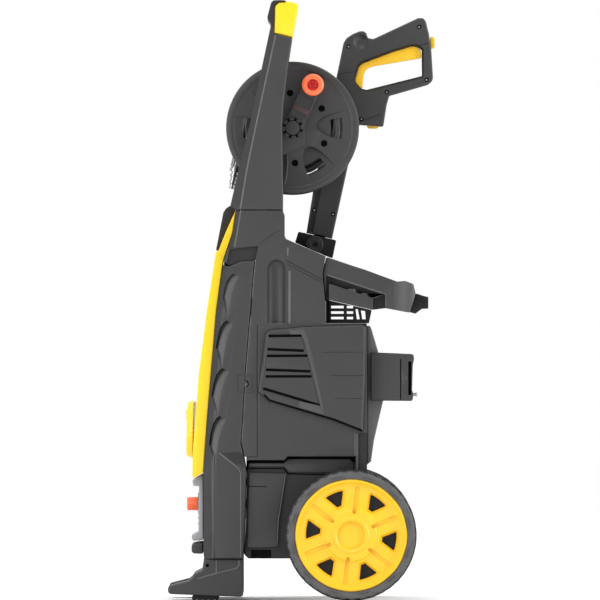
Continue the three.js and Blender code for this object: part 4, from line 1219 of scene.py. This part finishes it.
def makeGunShell(side, look):
    low, high = span(1, look['middle'] - look['half'], look['middle'] - 0.15)
    if side > 0:
        low, high = look['middle'] + 0.15, look['middle'] + look['half']
    outline = rounded(gunOutline, 3.5, keep=(21, 22))
    outer = dress(plate(outline, low, high, edge=4.2, steps=5, ends=outerEnd(side)), *bodyFinish)
    outside = low if side < 0 else high
    window = plate(offset(rounded(handRoom, 3), -0.9), look['middle'] - 30, look['middle'] + 30)
    lipOuter = offset(rounded(handRoom, 3), 2.6)
    lip = taper(lipOuter, outside + side * 0.2, rounded(handRoom, 3), outside - side * 4.0)
    # the window's walls are coloured black as painted shadow, its lip darker as painted shade
    cutAway(outer, window, finish=2)
    cutAway(outer, lip, finish=3)
    inner = (look['middle'] - 11.5, look['middle'] + 11.5)
    cutAway(outer, plate(triggerPocket, *inner), rod(gunAxis(520), gunAxis(690), 9.4),
            rod(gunAxis(689), gunAxis(757), 8.4), block(97.5, 116.5, 65.5, 84.5, 700, 722),
            block(189, 205, 68.5, 81.5, 825.5, 844.5))
    # crease lines pressed into the outer face, coloured darker as painted shade
    for line in ([(45, 786), (100, 795), (160, 827), (190, 834)], [(62, 707), (118, 727)],
                 [(60, 672), (68, 700)]):
        cutAway(outer, plate(stroke(line, 1.1), *sorted((outside - side * 0.8, outside + side * 2))),
                finish=3)
    # thumb dimple behind the nose
    dimple = turned([(0, -6), (6, -5), (10, -3), (12.5, 0), (12.5, 3)], (88, outside + side * 1.6, 836),
                    (0, side, 0), 32)
    cutAway(outer, dimple)
    # the barrel shows as a round rib down the lower body
    ribY = outside - side * 3.4
    rib = rod((gunAxis(548)[0], ribY, 548), (gunAxis(640)[0], ribY, 640), 6.0, sides=32)
    lower = look['axisX']
    # a dark strip beside the rib: painted shade
    cutAway(outer, plate([(lower - 16, 552), (lower - 9.5, 550), (lower + 7, 634), (lower, 636)],
                         *sorted((outside - side * 1.6, outside + side * 2))), finish=3)
    keep = plate([(-10, 545), (60, 545), (60, 700), (-10, 700)], *sorted((outside - side * 4, outside)))
    join(outer, meet(rib, keep), finish=0)
    # screw holes coloured black as painted shadow
    for x, z in gunScrews:
        cutAway(outer, sink(x, z, side, side * outside, 3.0, 2.6), finish=2)
    name = nameOf(side)
    return finishUp(outer, 'gun_shell_skin_' + name, 'gun', ['gun_shell_' + name], smooth=34)


for side in sides.values():
    makeGunShell(side, gun)


def gunScrewHeads():
    heads = []
    for x, z in gunScrews:
        head = turned([(1.7, 0), (1.7, 0.6), (1.2, 1.2), (0, 1.4)], (x, gun['screwY'], z), (0, -1, 0), 20)
        head.data.materials.append(paint['steel'])
        heads.append(head)
    return merged('gun_screws', heads)


finishUp(gunScrewHeads(), 'gun_screws', 'gun')
triggerOutline = [(91.2, 766.6), (93, 787.2), (96.8, 794.6), (105.2, 798.9), (180.2, 811.8),
                  (178.4, 824.1),
                  (172, 829.4), (165.2, 829.8), (136.7, 821.4), (89.8, 803.6), (84.8, 798.4), (79.6, 779),
                  (80.6, 775), (87.5, 766.6)]
finishUp(dress(plate(rounded(triggerOutline, 4), 64, 86, edge=3.0, steps=4), 'wheelYellow'),
         'trigger_skin', 'trigger', ['trigger'])
lockOutline = [(193, 826.2), (199, 826.2), (200, 830), (200, 840), (198, 843.8), (193, 843.8)]
finishUp(dress(plate(rounded(lockOutline, 2), 69, 81, edge=1.2, steps=3), 'wheelYellow'),
         'trigger_lock_skin', 'trigger_lock', ['trigger_lock'])
clipOutline = [(98, 718), (98, 708), (101, 705.5), (113, 705.5), (116, 708), (116, 718)]
finishUp(dress(plate(rounded(clipOutline, 1.5), 66, 84, edge=1.2, steps=3), 'wheelYellow'),
         'hose_clip_skin', 'hose_clip', ['hose_clip'])
barrel = dress(turned([(0, -11), (5.4, -11), (6.6, -10), (7, -8), (7, 0), (9, 1), (9, 154)],
                      gunAxis(gun['axisZ'] - 2), (gun['lean'], 0, 1), 40), 'black')
finishUp(barrel, 'lance_barrel_skin', 'gun', ['lance_barrel'])
print('gun made')

# The gun holder and the boss at its foot.
holderOutline = [(-5.4, 550.5), (5.6, 548.3), (6.4, 547.9), (45.1, 539.2), (51.6, 537.5), (46, 510.5),
                 (35.7, 514.2), (-10.6, 534.2)]
holder = dress(plate(rounded(holderOutline, 2), 54, 96, edge=1.6, steps=3), 'black', 'charcoal')
cutAway(holder, rod(gunAxis(514), gunAxis(580), 9.8, sides=40))
finishUp(holder, 'gun_holder_skin', 'frame', ['gun_holder'], lip=0.4)


def makeBoss():
    profile = [(0, 0), (13, 0), (13, 6.2), (12.2, 7.2), (10.6, 7.4), (10.2, 6.8), (9.6, 6.8), (9.2, 7.6),
               (6.4, 7.7), (6, 7), (4, 7), (3.6, 3), (0, 3)]
    boss = dress(turned(profile, (19, 53.7, 531), (0, -1, 0), 64), 'charcoal', 'paintedShadowBlack')
    cutAway(boss, plate([(-30, 542), (-10.8, 533.9), (36, 513.7), (36, 480), (-30, 480)], 40, 60))
    return finishUp(boss, 'holder_boss_skin', 'frame', ['holder_boss'], smooth=30)


makeBoss()

# The storage tray behind the shoulder.
trayOutline = [(36.2, 512.2), (72, 500), (94.5, 492.8), (142, 475.3), (153.6, 476.4), (166.2, 471.8),
               (170, 458),
               (161, 428.7), (125.1, 435.5), (104.7, 433), (99.6, 434.5), (41.5, 447.5), (35.5, 447.5),
               (31, 487)]
nozzleHoles = [(73.8, 471.7), (93.9, 465.2)]


tray = {'half': 116.0, 'corner': 44, 'holeY': 109}


def makeTray(look):
    half, corner, holeY = look['half'], look['corner'], look['holeY']
    outer = dress(plate(rounded(trayOutline, 2.5, keep=(12, 13)), -half, half, edge=2.0, steps=3),
                  *bodyFinish)
    # seen from above, its rear corners are round
    plan = [(20, -half)] + [(126 + corner * math.sin(a), -half + corner - corner * math.cos(a))
                            for a in (math.radians(15 * k) for k in range(7))]
    plan += [(x, -y) for x, y in plan[::-1]]
    meet(outer, slab(plan, 400, 560))
    cutAway(outer, plate([(42, 530), (148, 500), (148, 452), (126, 452), (46, 462)], -90, 90))
    cutAway(outer, plate([(46, 440), (100, 425), (118, 425), (118, 446), (46, 458)], -97, 97))
    for side in sides.values():
        # the recess under the lip is coloured darker as painted shade
        recess = [(39.5, 483), (124, 455), (124.5, 430), (36, 430), (36, 484)]
        cutAway(outer, plate(recess, *span(side, 103, 125)), finish=3)
        ledge = [(40, 472.5), (106, 450.5), (106, 433.4), (99.6, 434.5), (41.5, 447.5), (40, 448)]
        floor = dress(plate(rounded(ledge, 2), *span(side, 90, 117), edge=1.6, steps=3), *bodyFinish)
        for x, z in nozzleHoles:
            # nozzle holes coloured black as painted shadow
            cutAway(floor, rod((x, side * holeY, z - 36), (x, side * holeY, z + 10), 5.4), finish=2)
            cup = turned([(5.4, -14), (7.4, -14), (7.8, 1), (7.2, 2.4), (5.9, 2.4), (5.4, 1)],
                         (x, side * holeY, z - 9.6), (0, 0, 1), 28, ring=True)
            join(floor, cup)
        join(outer, floor)
        # paler beads: painted highlight lines
        join(outer, bead([(102, 449.6), (102, 436)], 5.5, side, half, 0.9), finish=1)
        join(outer, bead([(38.5, 485), (124.6, 456.6), (124.8, 437.5)], 1.5, side, half - 0.4, 0.8),
             finish=1)
    return finishUp(outer, 'tray_skin', 'frame', ['tray'], smooth=34)


makeTray(tray)


def makeTrayEnd():
    outline = [(170.4, 457.4), (173.5, 456.9), (180.9, 454.3), (189.3, 452.2), (189.3, 434.8),
               (179.4, 434.4), (170, 427.2), (161.6, 429.4)]
    made = dress(plate(rounded(outline, 1.5), -30, 30, edge=1.4, steps=3), 'black', 'charcoal')
    for k in range(-2, 3):
        cutAway(made, block(186.5, 195, k * 11 - 2.2, k * 11 + 2.2, 438, 449))
    return finishUp(made, 'tray_end_skin', 'frame', ['tray_end'])


makeTrayEnd()
print('tray made')

# The motor housing, its covers and the cord holder.
housing = {'half': 112.0, 'cover': 128.0, 'flank': 121.7}
coverOutline = [(-54.5, 398.4), (-47, 403), (6.9, 408.2), (94.2, 411), (93, 333), (89.5, 251.2),
                (47.1, 267.8),
                (-49.5, 297), (-60.8, 306.8), (-65.4, 310), (-63, 333)]
flankOutline = [(-66.5, 412.5), (97, 412.5), (97, 190), (80, 190), (80, 214.5), (-22, 214.5), (-26, 209),
                (-82, 209), (-82, 213.6), (-66.5, 213.6)]


def makeHousing(look):
    half = look['half']
    outline = [(-66.5, 412.5), (97, 412.5), (97, 214.5), (-66.5, 214.5)]
    outer = dress(plate(rounded(outline, 2), -half, half), *bodyFinish)
    for side in sides.values():
        flank = plate(flankOutline, *span(side, half - 2.5, look['flank']), edge=1.0, steps=2,
                      ends=outerEnd(side))
        cutAway(flank, plate(offset(coverOutline, 0.4), *span(side, half - 1, 127)))
        join(outer, flank)
    cutAway(outer, block(-62.5, 93, 4 - half, half - 4, 200, 408.5))
    for side in sides.values():
        # the openings are coloured black as painted shadow
        for x in (-30, 0, 30):
            cutAway(outer, plate(box2(x - 12, x + 12, 330, 385), *span(side, 100, 125)), finish=2)
        # the ridge is coloured paler as painted light
        ridge = [(77.5, 250), (83.5, 248), (83.5, 190.4), (80.4, 190.4), (80.4, 214.9), (77.5, 214.9)]
        join(outer, plate(ridge, *span(side, half, 122.6), edge=1.2, steps=3, ends=outerEnd(side)),
             finish=4)
        # this cut is coloured darker as painted shade
        cutAway(outer, plate(box2(84.2, 99, 186, 250), *span(side, look['flank'] - 3, 130)), finish=3)
    return finishUp(outer, 'motor_housing_skin', 'frame', ['motor_housing'])


makeHousing(housing)
louvres = [[(-50, 394), (0, 394.8)], [(-51.5, 374.4), (3, 372.2)], [(-52.5, 364.4), (8.6, 364.8)],
           [(-53.8, 343.8), (12.6, 341.4)], [(-54.5, 333.8), (14.6, 334)], [(-58, 316), (27, 290.6)]]
facet = [(-19, 402.4), (3, 405), (8.8, 390.4), (15.9, 361.7), (24.5, 321.5), (33.2, 277), (27.4, 290.6),
         (14.8, 343),
         (7.2, 371.7), (3.4, 386.5), (-1, 396.6), (-17, 396.4)]
patch = [(-4.2, 297.2), (26.6, 290.2), (33, 277.2), (-4.2, 287.4)]


def makeSideCover(side, look):
    face = look['cover']
    low, high = span(side, look['half'] + 0.3, face)
    outline = rounded(coverOutline, 5)
    outer = dress(plate(outline, low, high, edge=3.6, steps=4, ends=outerEnd(side)), *bodyFinish)
    cutAway(outer, plate(offset(coverOutline, -5), *span(side, look['half'] - 2, face - 5)))
    window = offset(rounded([(-58, 398), (0, 398.8), (12, 362), (17, 334), (28, 287), (-60.5, 312)], 4),
                    -1.4)
    cutAway(outer, taper(offset(window, 0.7), side * (face + 0.1), window, side * (face - 1.0)))
    # slits coloured black as painted shadow
    for line in louvres:
        cutAway(outer, plate(rounded(stroke(line, 4.0), 1.8), *span(side, face - 4.2, face + 2)),
                finish=2)
    for first, second in ((0, 1), (2, 3)):  # slats between the slits, a little proud
        top, bottom = louvres[first], louvres[second]
        slat = [(top[0][0], top[0][1] - 3.2), (bottom[0][0], bottom[0][1] + 3.2),
                (bottom[1][0], bottom[1][1] + 3.2), (top[1][0], top[1][1] - 3.2)]
        raised = plate(rounded(slat, 2), *span(side, face - 3, face - 0.4), edge=0.8, steps=2,
                       ends=outerEnd(side))
        join(outer, raised)
    # facet and patch coloured paler as painted light
    for shape in (facet, patch):
        join(outer, plate(rounded(shape, 1.2), *span(side, face - 2, face + 0.35), edge=0.3, steps=2,
                          ends=outerEnd(side)), finish=4)
    # the fine lines are coloured darker as painted shade
    for start, z in ((30, 370), (41, 335), (49, 301)):  # three fine lines to the rear edge
        cutAway(outer, plate(box2(start, 99, z - 0.4, z + 0.4), *span(side, face - 0.6, face + 1)),
                finish=3)
    # edge and rim beads coloured paler as painted light
    edgeLine = [(93.4, 407), (92.2, 333), (88.8, 254)]
    join(outer, bead(edgeLine, 3.2, side, face - 2.6, 1.0), finish=4)
    rimLine = [(-50.6, 399.6), (-58.8, 333), (-61, 312), (-56.4, 305.5)]
    join(outer, bead(rimLine, 1.8, side, face - 1.0, 0.8), finish=4)
    # a lower line coloured black as painted shadow
    lower = [(-57, 306.8), (-48, 298.2), (47, 270), (88, 254)]
    cutAway(outer, plate(stroke(lower, 3.0), *span(side, face - 3, face + 2)), finish=2)
    name = nameOf(side)
    return finishUp(outer, 'side_cover_skin_' + name, 'frame', ['side_cover_' + name],
                    smooth=34)


for side in sides.values():
    makeSideCover(side, housing)

rearOutline = [(97.4, 408.8), (102, 408.8), (104.1, 403.3), (114, 370), (121.2, 297), (118, 283.3),
               (107.5, 237.8), (103.2, 206.7), (97.4, 201.8)]


def makeRearCover():
    outer = dress(plate(rounded(rearOutline, 2, keep=(0, 8)), -88, 88, edge=2.2, steps=3), 'midGrey',
                  'charcoalDarkAndPaintedShade', 'paintedShadowBlack')
    cutAway(outer, plate([(90, 400), (99, 400), (111, 369), (117.4, 297), (104, 240), (100, 222),
                          (90, 222)], -82, 82))
    # the slots are coloured black as painted shadow
    for k in range(6):  # outlet slots low on the back
        z = 232 + k * 8
        cutAway(outer, block(95, 130, -60, 60, z, z + 3.2), finish=2)
    return finishUp(outer, 'rear_cover_skin', 'frame', ['rear_cover'])


makeRearCover()
cordHolderOutline = [(102.6, 369), (166.2, 366.5), (167.5, 360.8), (165.5, 350), (164.4, 313.3),
                     (166.5, 308), (165.5, 299.5), (163.3, 297), (102.6, 297.5)]


def makeCordHolder():
    outer = dress(plate(rounded(cordHolderOutline, 2.5, keep=(0, 8)), -100, 100, edge=2.2, steps=3),
                  *bodyFinish)
    cutAway(outer, block(90, 148, -91, 91, 290, 380), rod((150, 0, 306), (180, 0, 306), 2.9))
    for side in sides.values():
        recess = rounded([(147.5, 358), (160.5, 358), (160.5, 306), (147.5, 304)], 4)
        cutAway(outer, taper(offset(recess, 0.6), side * 100.2, recess, side * 98.4), finish=0)
        # paler beads as painted light and painted highlight
        join(outer, bead([(152.6, 361), (150.6, 357), (150.6, 307), (152, 301)], 2.4, side, 98.4, 1.2),
             finish=4)
        join(outer, bead([(155.4, 355), (155.2, 308)], 1.6, side, 98.4, 1.0), finish=1)
        # slot and line coloured black as painted shadow
        cutAway(outer, plate(box2(158.6, 163.4, 306, 356), *span(side, 94, 102)), finish=2)
        cutAway(outer, plate(stroke([(147.2, 360), (147.2, 299)], 1.6), *span(side, 98, 102)), finish=2)
    return finishUp(outer, 'cord_holder_skin', 'frame', ['cord_holder'])


makeCordHolder()
gland = dress(turned([(0, 0), (7, 0), (7, 1.4), (6.2, 1.8), (6.2, 2.8), (6.8, 3.2), (6.5, 4.2),
                      (5.8, 4.6), (6.1, 5.4),
                      (5.8, 6.4), (5.2, 7), (4, 7.1), (3.4, 5.6), (0, 5.4)], (97.3, 100, 224), (1, 0, 0),
                     40), 'rubber')
finishUp(gland, 'cable_gland_skin', 'frame', ['cable_gland'])
pin = dress(turned([(0, 0), (2.4, 0), (2.4, 9), (3.2, 9.4), (3.2, 11.4), (2.6, 12), (0, 12)],
                   (161, 0, 306), (1, 0, 0), 24),
            'steel')
finishUp(pin, 'holder_pin_skin', 'frame', ['holder_pin'])
print('housing made')

# The chassis between the wheels.
axleX, axleZ = 73.2, 97.5
chassisOutline = [(-86.5, 69), (-84.5, 66), (-80, 62), (50, 62), (79, 92), (79, 205), (72, 211),
                  (-20, 211), (-27, 205), (-80, 205), (-82.6, 192), (-83.6, 118)]


chassis = {'half': 106.0, 'collarHalf': 102}


def makeChassis(look):
    half, collar = look['half'], look['collarHalf']
    outer = dress(plate(rounded(chassisOutline, 2), -half, half, edge=2.2, steps=3), 'charcoalDarkAndPaintedShade',
                  'charcoalPaintedHighlight', 'paintedShadowBlack', 'charcoal', 'charcoalPaintedLight')
    # a collar coloured black as painted shadow closes the gap under the housing
    join(outer, block(-83, 84, -collar, collar, 192, 213.4), finish=2)
    cutAway(outer, plate([(-75, 230), (73, 230), (73, 95), (47, 66), (-75, 66)], -100, 100))
    for side in sides.values():
        blockOutline = [(-79, 190.6), (-25.6, 188.8), (-36.2, 117.8), (-38.2, 79.5), (-82, 78.2)]
        join(outer, plate(rounded(blockOutline, 1.5), *span(side, half - 2, half + 5), edge=1.6, steps=3,
                          ends=outerEnd(side)), finish=3)
        # gaps, slits and lines coloured black as painted shadow; the bead paler as painted highlight
        cutAway(outer, plate(box2(-84, -80.5, 92, 170), *span(side, half + 1, half + 8)), finish=2)
        cutAway(outer, plate(stroke([(-81, 170), (-52, 169)], 1.2), *span(side, half + 4, half + 8)),
                finish=2)
        join(outer, bead([(-24.6, 188.6), (-35.4, 117.8), (-37.4, 81)], 1.4, side, half + 4.4, 0.8),
             finish=1)
        shelf = [(-79, 204.4), (-27.4, 204.4), (-20.4, 210.4), (71, 210.4), (76, 206), (76, 190),
                 (-19, 191.6), (-26, 199.4), (-79, 199.4)]
        join(outer, plate(rounded(shelf, 1), *span(side, half - 2, half + 4), edge=1.2, steps=2,
                          ends=outerEnd(side)), finish=3)
        cutAway(outer, plate([(-90, 195.5), (-28, 195.5), (-21, 187.5), (74, 185), (74, 187),
                              (-20, 189.5), (-27, 197.5),
                              (-90, 197.5)], *span(side, half - 3, half + 8)), finish=2)
        cutAway(outer, plate(box2(-76, -46, 62, 75), *span(side, half - 3, half + 8)), finish=2)
    cutAway(outer, rod((-100, 0, inletZ), (-70, 0, inletZ), 8.8),
            rod((-100, 46, 174), (-70, 33, 171), 11.2),
            rod((axleX, -130, axleZ), (axleX, 130, axleZ), 7.4, sides=32))
    return finishUp(outer, 'chassis_skin', 'frame', ['chassis'])


makeChassis(chassis)
print('chassis made')

# The wheels: rims and tyres.
wheel = {'radius': 97.5, 'rim': 83.3, 'x': axleX, 'z': axleZ, 'middleY': 151.0, 'windows': 52.4,
         'spokes': 22.4, 'lugs': 40}


def atWheel(points, side, look):
    flip = 1 if side < 0 else -1
    return [(look['x'] + flip * x, look['z'] + z) for x, z in points]


def makeRim(side, look):
    r = look['rim']
    # distances are measured outwards from the wheel's middle plane
    profile = [(7.3, 1), (r - 6, 1), (r - 4, -16), (r, -16), (r, 16.4), (r - 1.4, 18.6), (r - 3.2, 18.4),
               (r - 5.4, 15.4),
               (r - 8, 12.6), (r - 11, 11.8), (44, 12.4), (40.5, 13.4), (38.6, 16), (37, 17),
               (27.4, 17.2), (25.6, 18.6),
               (23.4, 18.8), (21.6, 17.6), (20, 14), (18.6, 12.8), (7.3, 12.4)]
    middle = (look['x'], side * look['middleY'], look['z'])
    base = dress(turned(profile, middle, (0, side, 0), 144, ring=True), 'wheelYellow', 'panelYellow',
                 'black')
    face = look['middleY']
    for k in range(6):
        centre = look['windows'] + 60 * k
        hole = rounded(sector(46.5, 67.5, centre - 12, centre + 12, 4, centre - 4, centre + 4), 1.5)
        mouth = offset(hole, 3.2)
        cutAway(base, plate(atWheel(hole, side, look), *span(side, face - 1, face + 25)))
        cutAway(base, taper(atWheel(offset(mouth, 1.0), side, look), side * (face + 14),
                            atWheel(hole, side, look), side * (face + 6.5)))
        spoke = look['spokes'] + 60 * k
        groove = capsule(polar(42.5, spoke), polar(71, spoke), 2.8, 8)
        cutAway(base, taper(atWheel(offset(groove, 0.6), side, look), side * (face + 12.8),
                            atWheel(groove, side, look), side * (face + 10.2)))
        notch = capsule(polar(35.2, spoke), polar(41, spoke), 2.8, 6)
        cutAway(base, plate(atWheel(notch, side, look), *span(side, face + 11.6, face + 25)))
    for k in range(6):  # arcs raised round the hub between the spokes
        centre = look['windows'] + 60 * k
        arc = sector(39.6, 42.2, centre - 19, centre + 19, 8)
        join(base, plate(atWheel(arc, side, look), *span(side, face + 9, face + 14.2), edge=0.8, steps=2,
                         ends=outerEnd(side)), finish=1)
    liner = turned([(38, -2), (r - 6.2, -2), (r - 6.2, 1.6), (38, 1.6)], middle, (0, side, 0), 96,
                   ring=True)
    join(base, liner, finish=2)
    # hub cover over the axle's end
    join(base, turned([(0, 9), (19.6, 9), (19.6, 12.6), (18.6, 13.4), (0, 13.6)], middle, (0, side, 0),
                      96))
    name = nameOf(side)
    return finishUp(base, 'wheel_rim_skin_' + name, name + '_wheel', ['wheel_rim_' + name],
                    smooth=28)


def makeTyre(side, look):
    r, inner = look['radius'], look['rim'] + 0.3

    def lug(radius, distance, degrees):
        if radius < 93.5:
            return radius
        step = 360.0 / look['lugs']
        phase = (degrees + (step / 2 if distance > 0 else 0)) % step
        return radius - (1.9 if phase < step * 0.28 else 0.0)

    profile = [(inner, -16), (87, -17.6), (90.6, -18.8), (93.2, -18.4), (95.2, -16.4), (r - 0.6, -13.6),
               (r, -11),
               (r, -1.2), (r - 1.2, -1), (r - 1.2, 1), (r, 1.2), (r, 11), (r - 0.6, 13.6), (95.2, 16.4),
               (93.2, 18.4), (90.6, 18.8), (87, 17.6), (inner, 16)]
    middle = (look['x'], side * look['middleY'], look['z'])
    base = dress(turned(profile, middle, (0, side, 0), look['lugs'] * 8, lug, ring=True), 'tyreGrey',
                 'tyreTread')
    centre = Vector(middle) * mm
    for polygon in base.data.polygons:
        spot = polygon.center - centre
        if math.hypot(spot.x, spot.z) > 94.6 * mm:
            polygon.material_index = 1
    ribs = []
    for k in range(12):  # moulded dashes on the sidewall
        start = 7 + 30 * k
        for inside, outside, a, b in ((86.2, 87.4, 0, 11), (89.6, 91.0, 3, 15), (92.0, 93.0, 13, 19)):
            ribs.append(plate(atWheel(sector(inside, outside, start + a, start + b, 5), side, look),
                              *span(side, look['middleY'] + 15, look['middleY'] + 19.2)))
    join(base, *ribs, finish=0)
    name = nameOf(side)
    return finishUp(base, 'tyre_skin_' + name, name + '_wheel', ['tyre_' + name], smooth=30)


for side in sides.values():
    makeRim(side, wheel)
    makeTyre(side, wheel)
print('wheels made')

# CAD nodes that keep their shape get a finish only.
kept = {'water_inlet': 'brass', 'switch_box': 'black', 'reel_spindle': 'brass',
        'supply_pipe': 'hoseBlack',
        'gun_valve': 'brass', 'guard_near': 'black', 'guard_far': 'black', 'motor': 'aluminium',
        'motor_fan': 'black',
        'pump_block': 'aluminium', 'start_capacitor': 'lightGrey', 'pressure_pipe': 'hoseBlack',
        'axle': 'steel'}
for node, finishName in kept.items():
    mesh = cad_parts[node].data
    mesh.materials.clear()
    mesh.materials.append(paint[finishName])
print('kept nodes dressed:', len(kept))

# Floor, surroundings and lamps.
studio = {'floorSize': 8.0, 'around': 1.3, 'ahead': 0.3, 'key': 120.0, 'side': 190.0, 'front': 150.0}


def areaLight(name, spot, aim, size, power):
    data = bpy.data.lights.new(name, 'AREA')
    data.shape = 'RECTANGLE'
    data.size, data.size_y = size
    data.energy = power
    made = bpy.data.objects.new(name, data)
    made.location = spot
    made.rotation_mode = 'QUATERNION'
    made.rotation_quaternion = (Vector(aim) - Vector(spot)).to_track_quat('-Z', 'Y')
    bpy.context.scene.collection.objects.link(made)


def makeStudio(look):
    bm = bmesh.new()
    reach = look['floorSize']
    corners = [bm.verts.new((x * reach, y * reach, -0.0004)) for x,
               y in ((-1, -1), (1, -1), (1, 1), (-1, 1))]
    bm.faces.new(corners)
    floor = newObject('floor', bm)
    finish = Finish('floorPaint')
    cloud = finish.noise(3.0, 3.0)
    colour = finish.between(cloud, (0.94, 0.94, 0.94, 1), (0.96, 0.96, 0.96, 1))
    floor.data.materials.append(finish.close({'Base Color': colour, 'Roughness': 0.75,
                                              'Specular IOR Level': 0.2}))
    world = bpy.data.worlds.new('studio')
    world.use_nodes = True
    tree = world.node_tree
    tree.nodes.clear()
    path = tree.nodes.new('ShaderNodeLightPath')
    seen, cast = tree.nodes.new('ShaderNodeBackground'), tree.nodes.new('ShaderNodeBackground')
    seen.inputs[0].default_value = (1, 1, 1, 1)
    cast.inputs[0].default_value = (1, 1, 1, 1)
    # the surroundings are dimmer straight behind the camera, so flat sides stay dark and edges catch light
    direction, split = tree.nodes.new('ShaderNodeTexCoord'), tree.nodes.new('ShaderNodeSeparateXYZ')
    dim = tree.nodes.new('ShaderNodeMapRange')
    dim.interpolation_type = 'SMOOTHSTEP'
    for socket, value in ((1, -0.95), (2, -0.15), (3, look['ahead']), (4, look['around'])):
        dim.inputs[socket].default_value = value
    tree.links.new(direction.outputs['Generated'], split.inputs[0])
    tree.links.new(split.outputs[1], dim.inputs[0])
    tree.links.new(dim.outputs[0], cast.inputs[1])
    mix = tree.nodes.new('ShaderNodeMixShader')
    out = tree.nodes.new('ShaderNodeOutputWorld')
    tree.links.new(path.outputs['Is Camera Ray'], mix.inputs[0])
    tree.links.new(cast.outputs[0], mix.inputs[1])
    tree.links.new(seen.outputs[0], mix.inputs[2])
    tree.links.new(mix.outputs[0], out.inputs[0])
    bpy.context.scene.world = world
    aim = (0, 0, 0.45)
    areaLight('keyLight', (-1.5, -3.5, 5.5), aim, (3.0, 3.0), look['key'])
    areaLight('sideLight', (6.0, -2.5, 2.0), aim, (1.2, 4.0), look['side'])
    areaLight('frontLight', (-5.0, -5.0, 1.2), aim, (2.5, 2.5), look['front'])
    bpy.context.scene.view_settings.view_transform = 'Standard'


makeStudio(studio)
print('studio made')
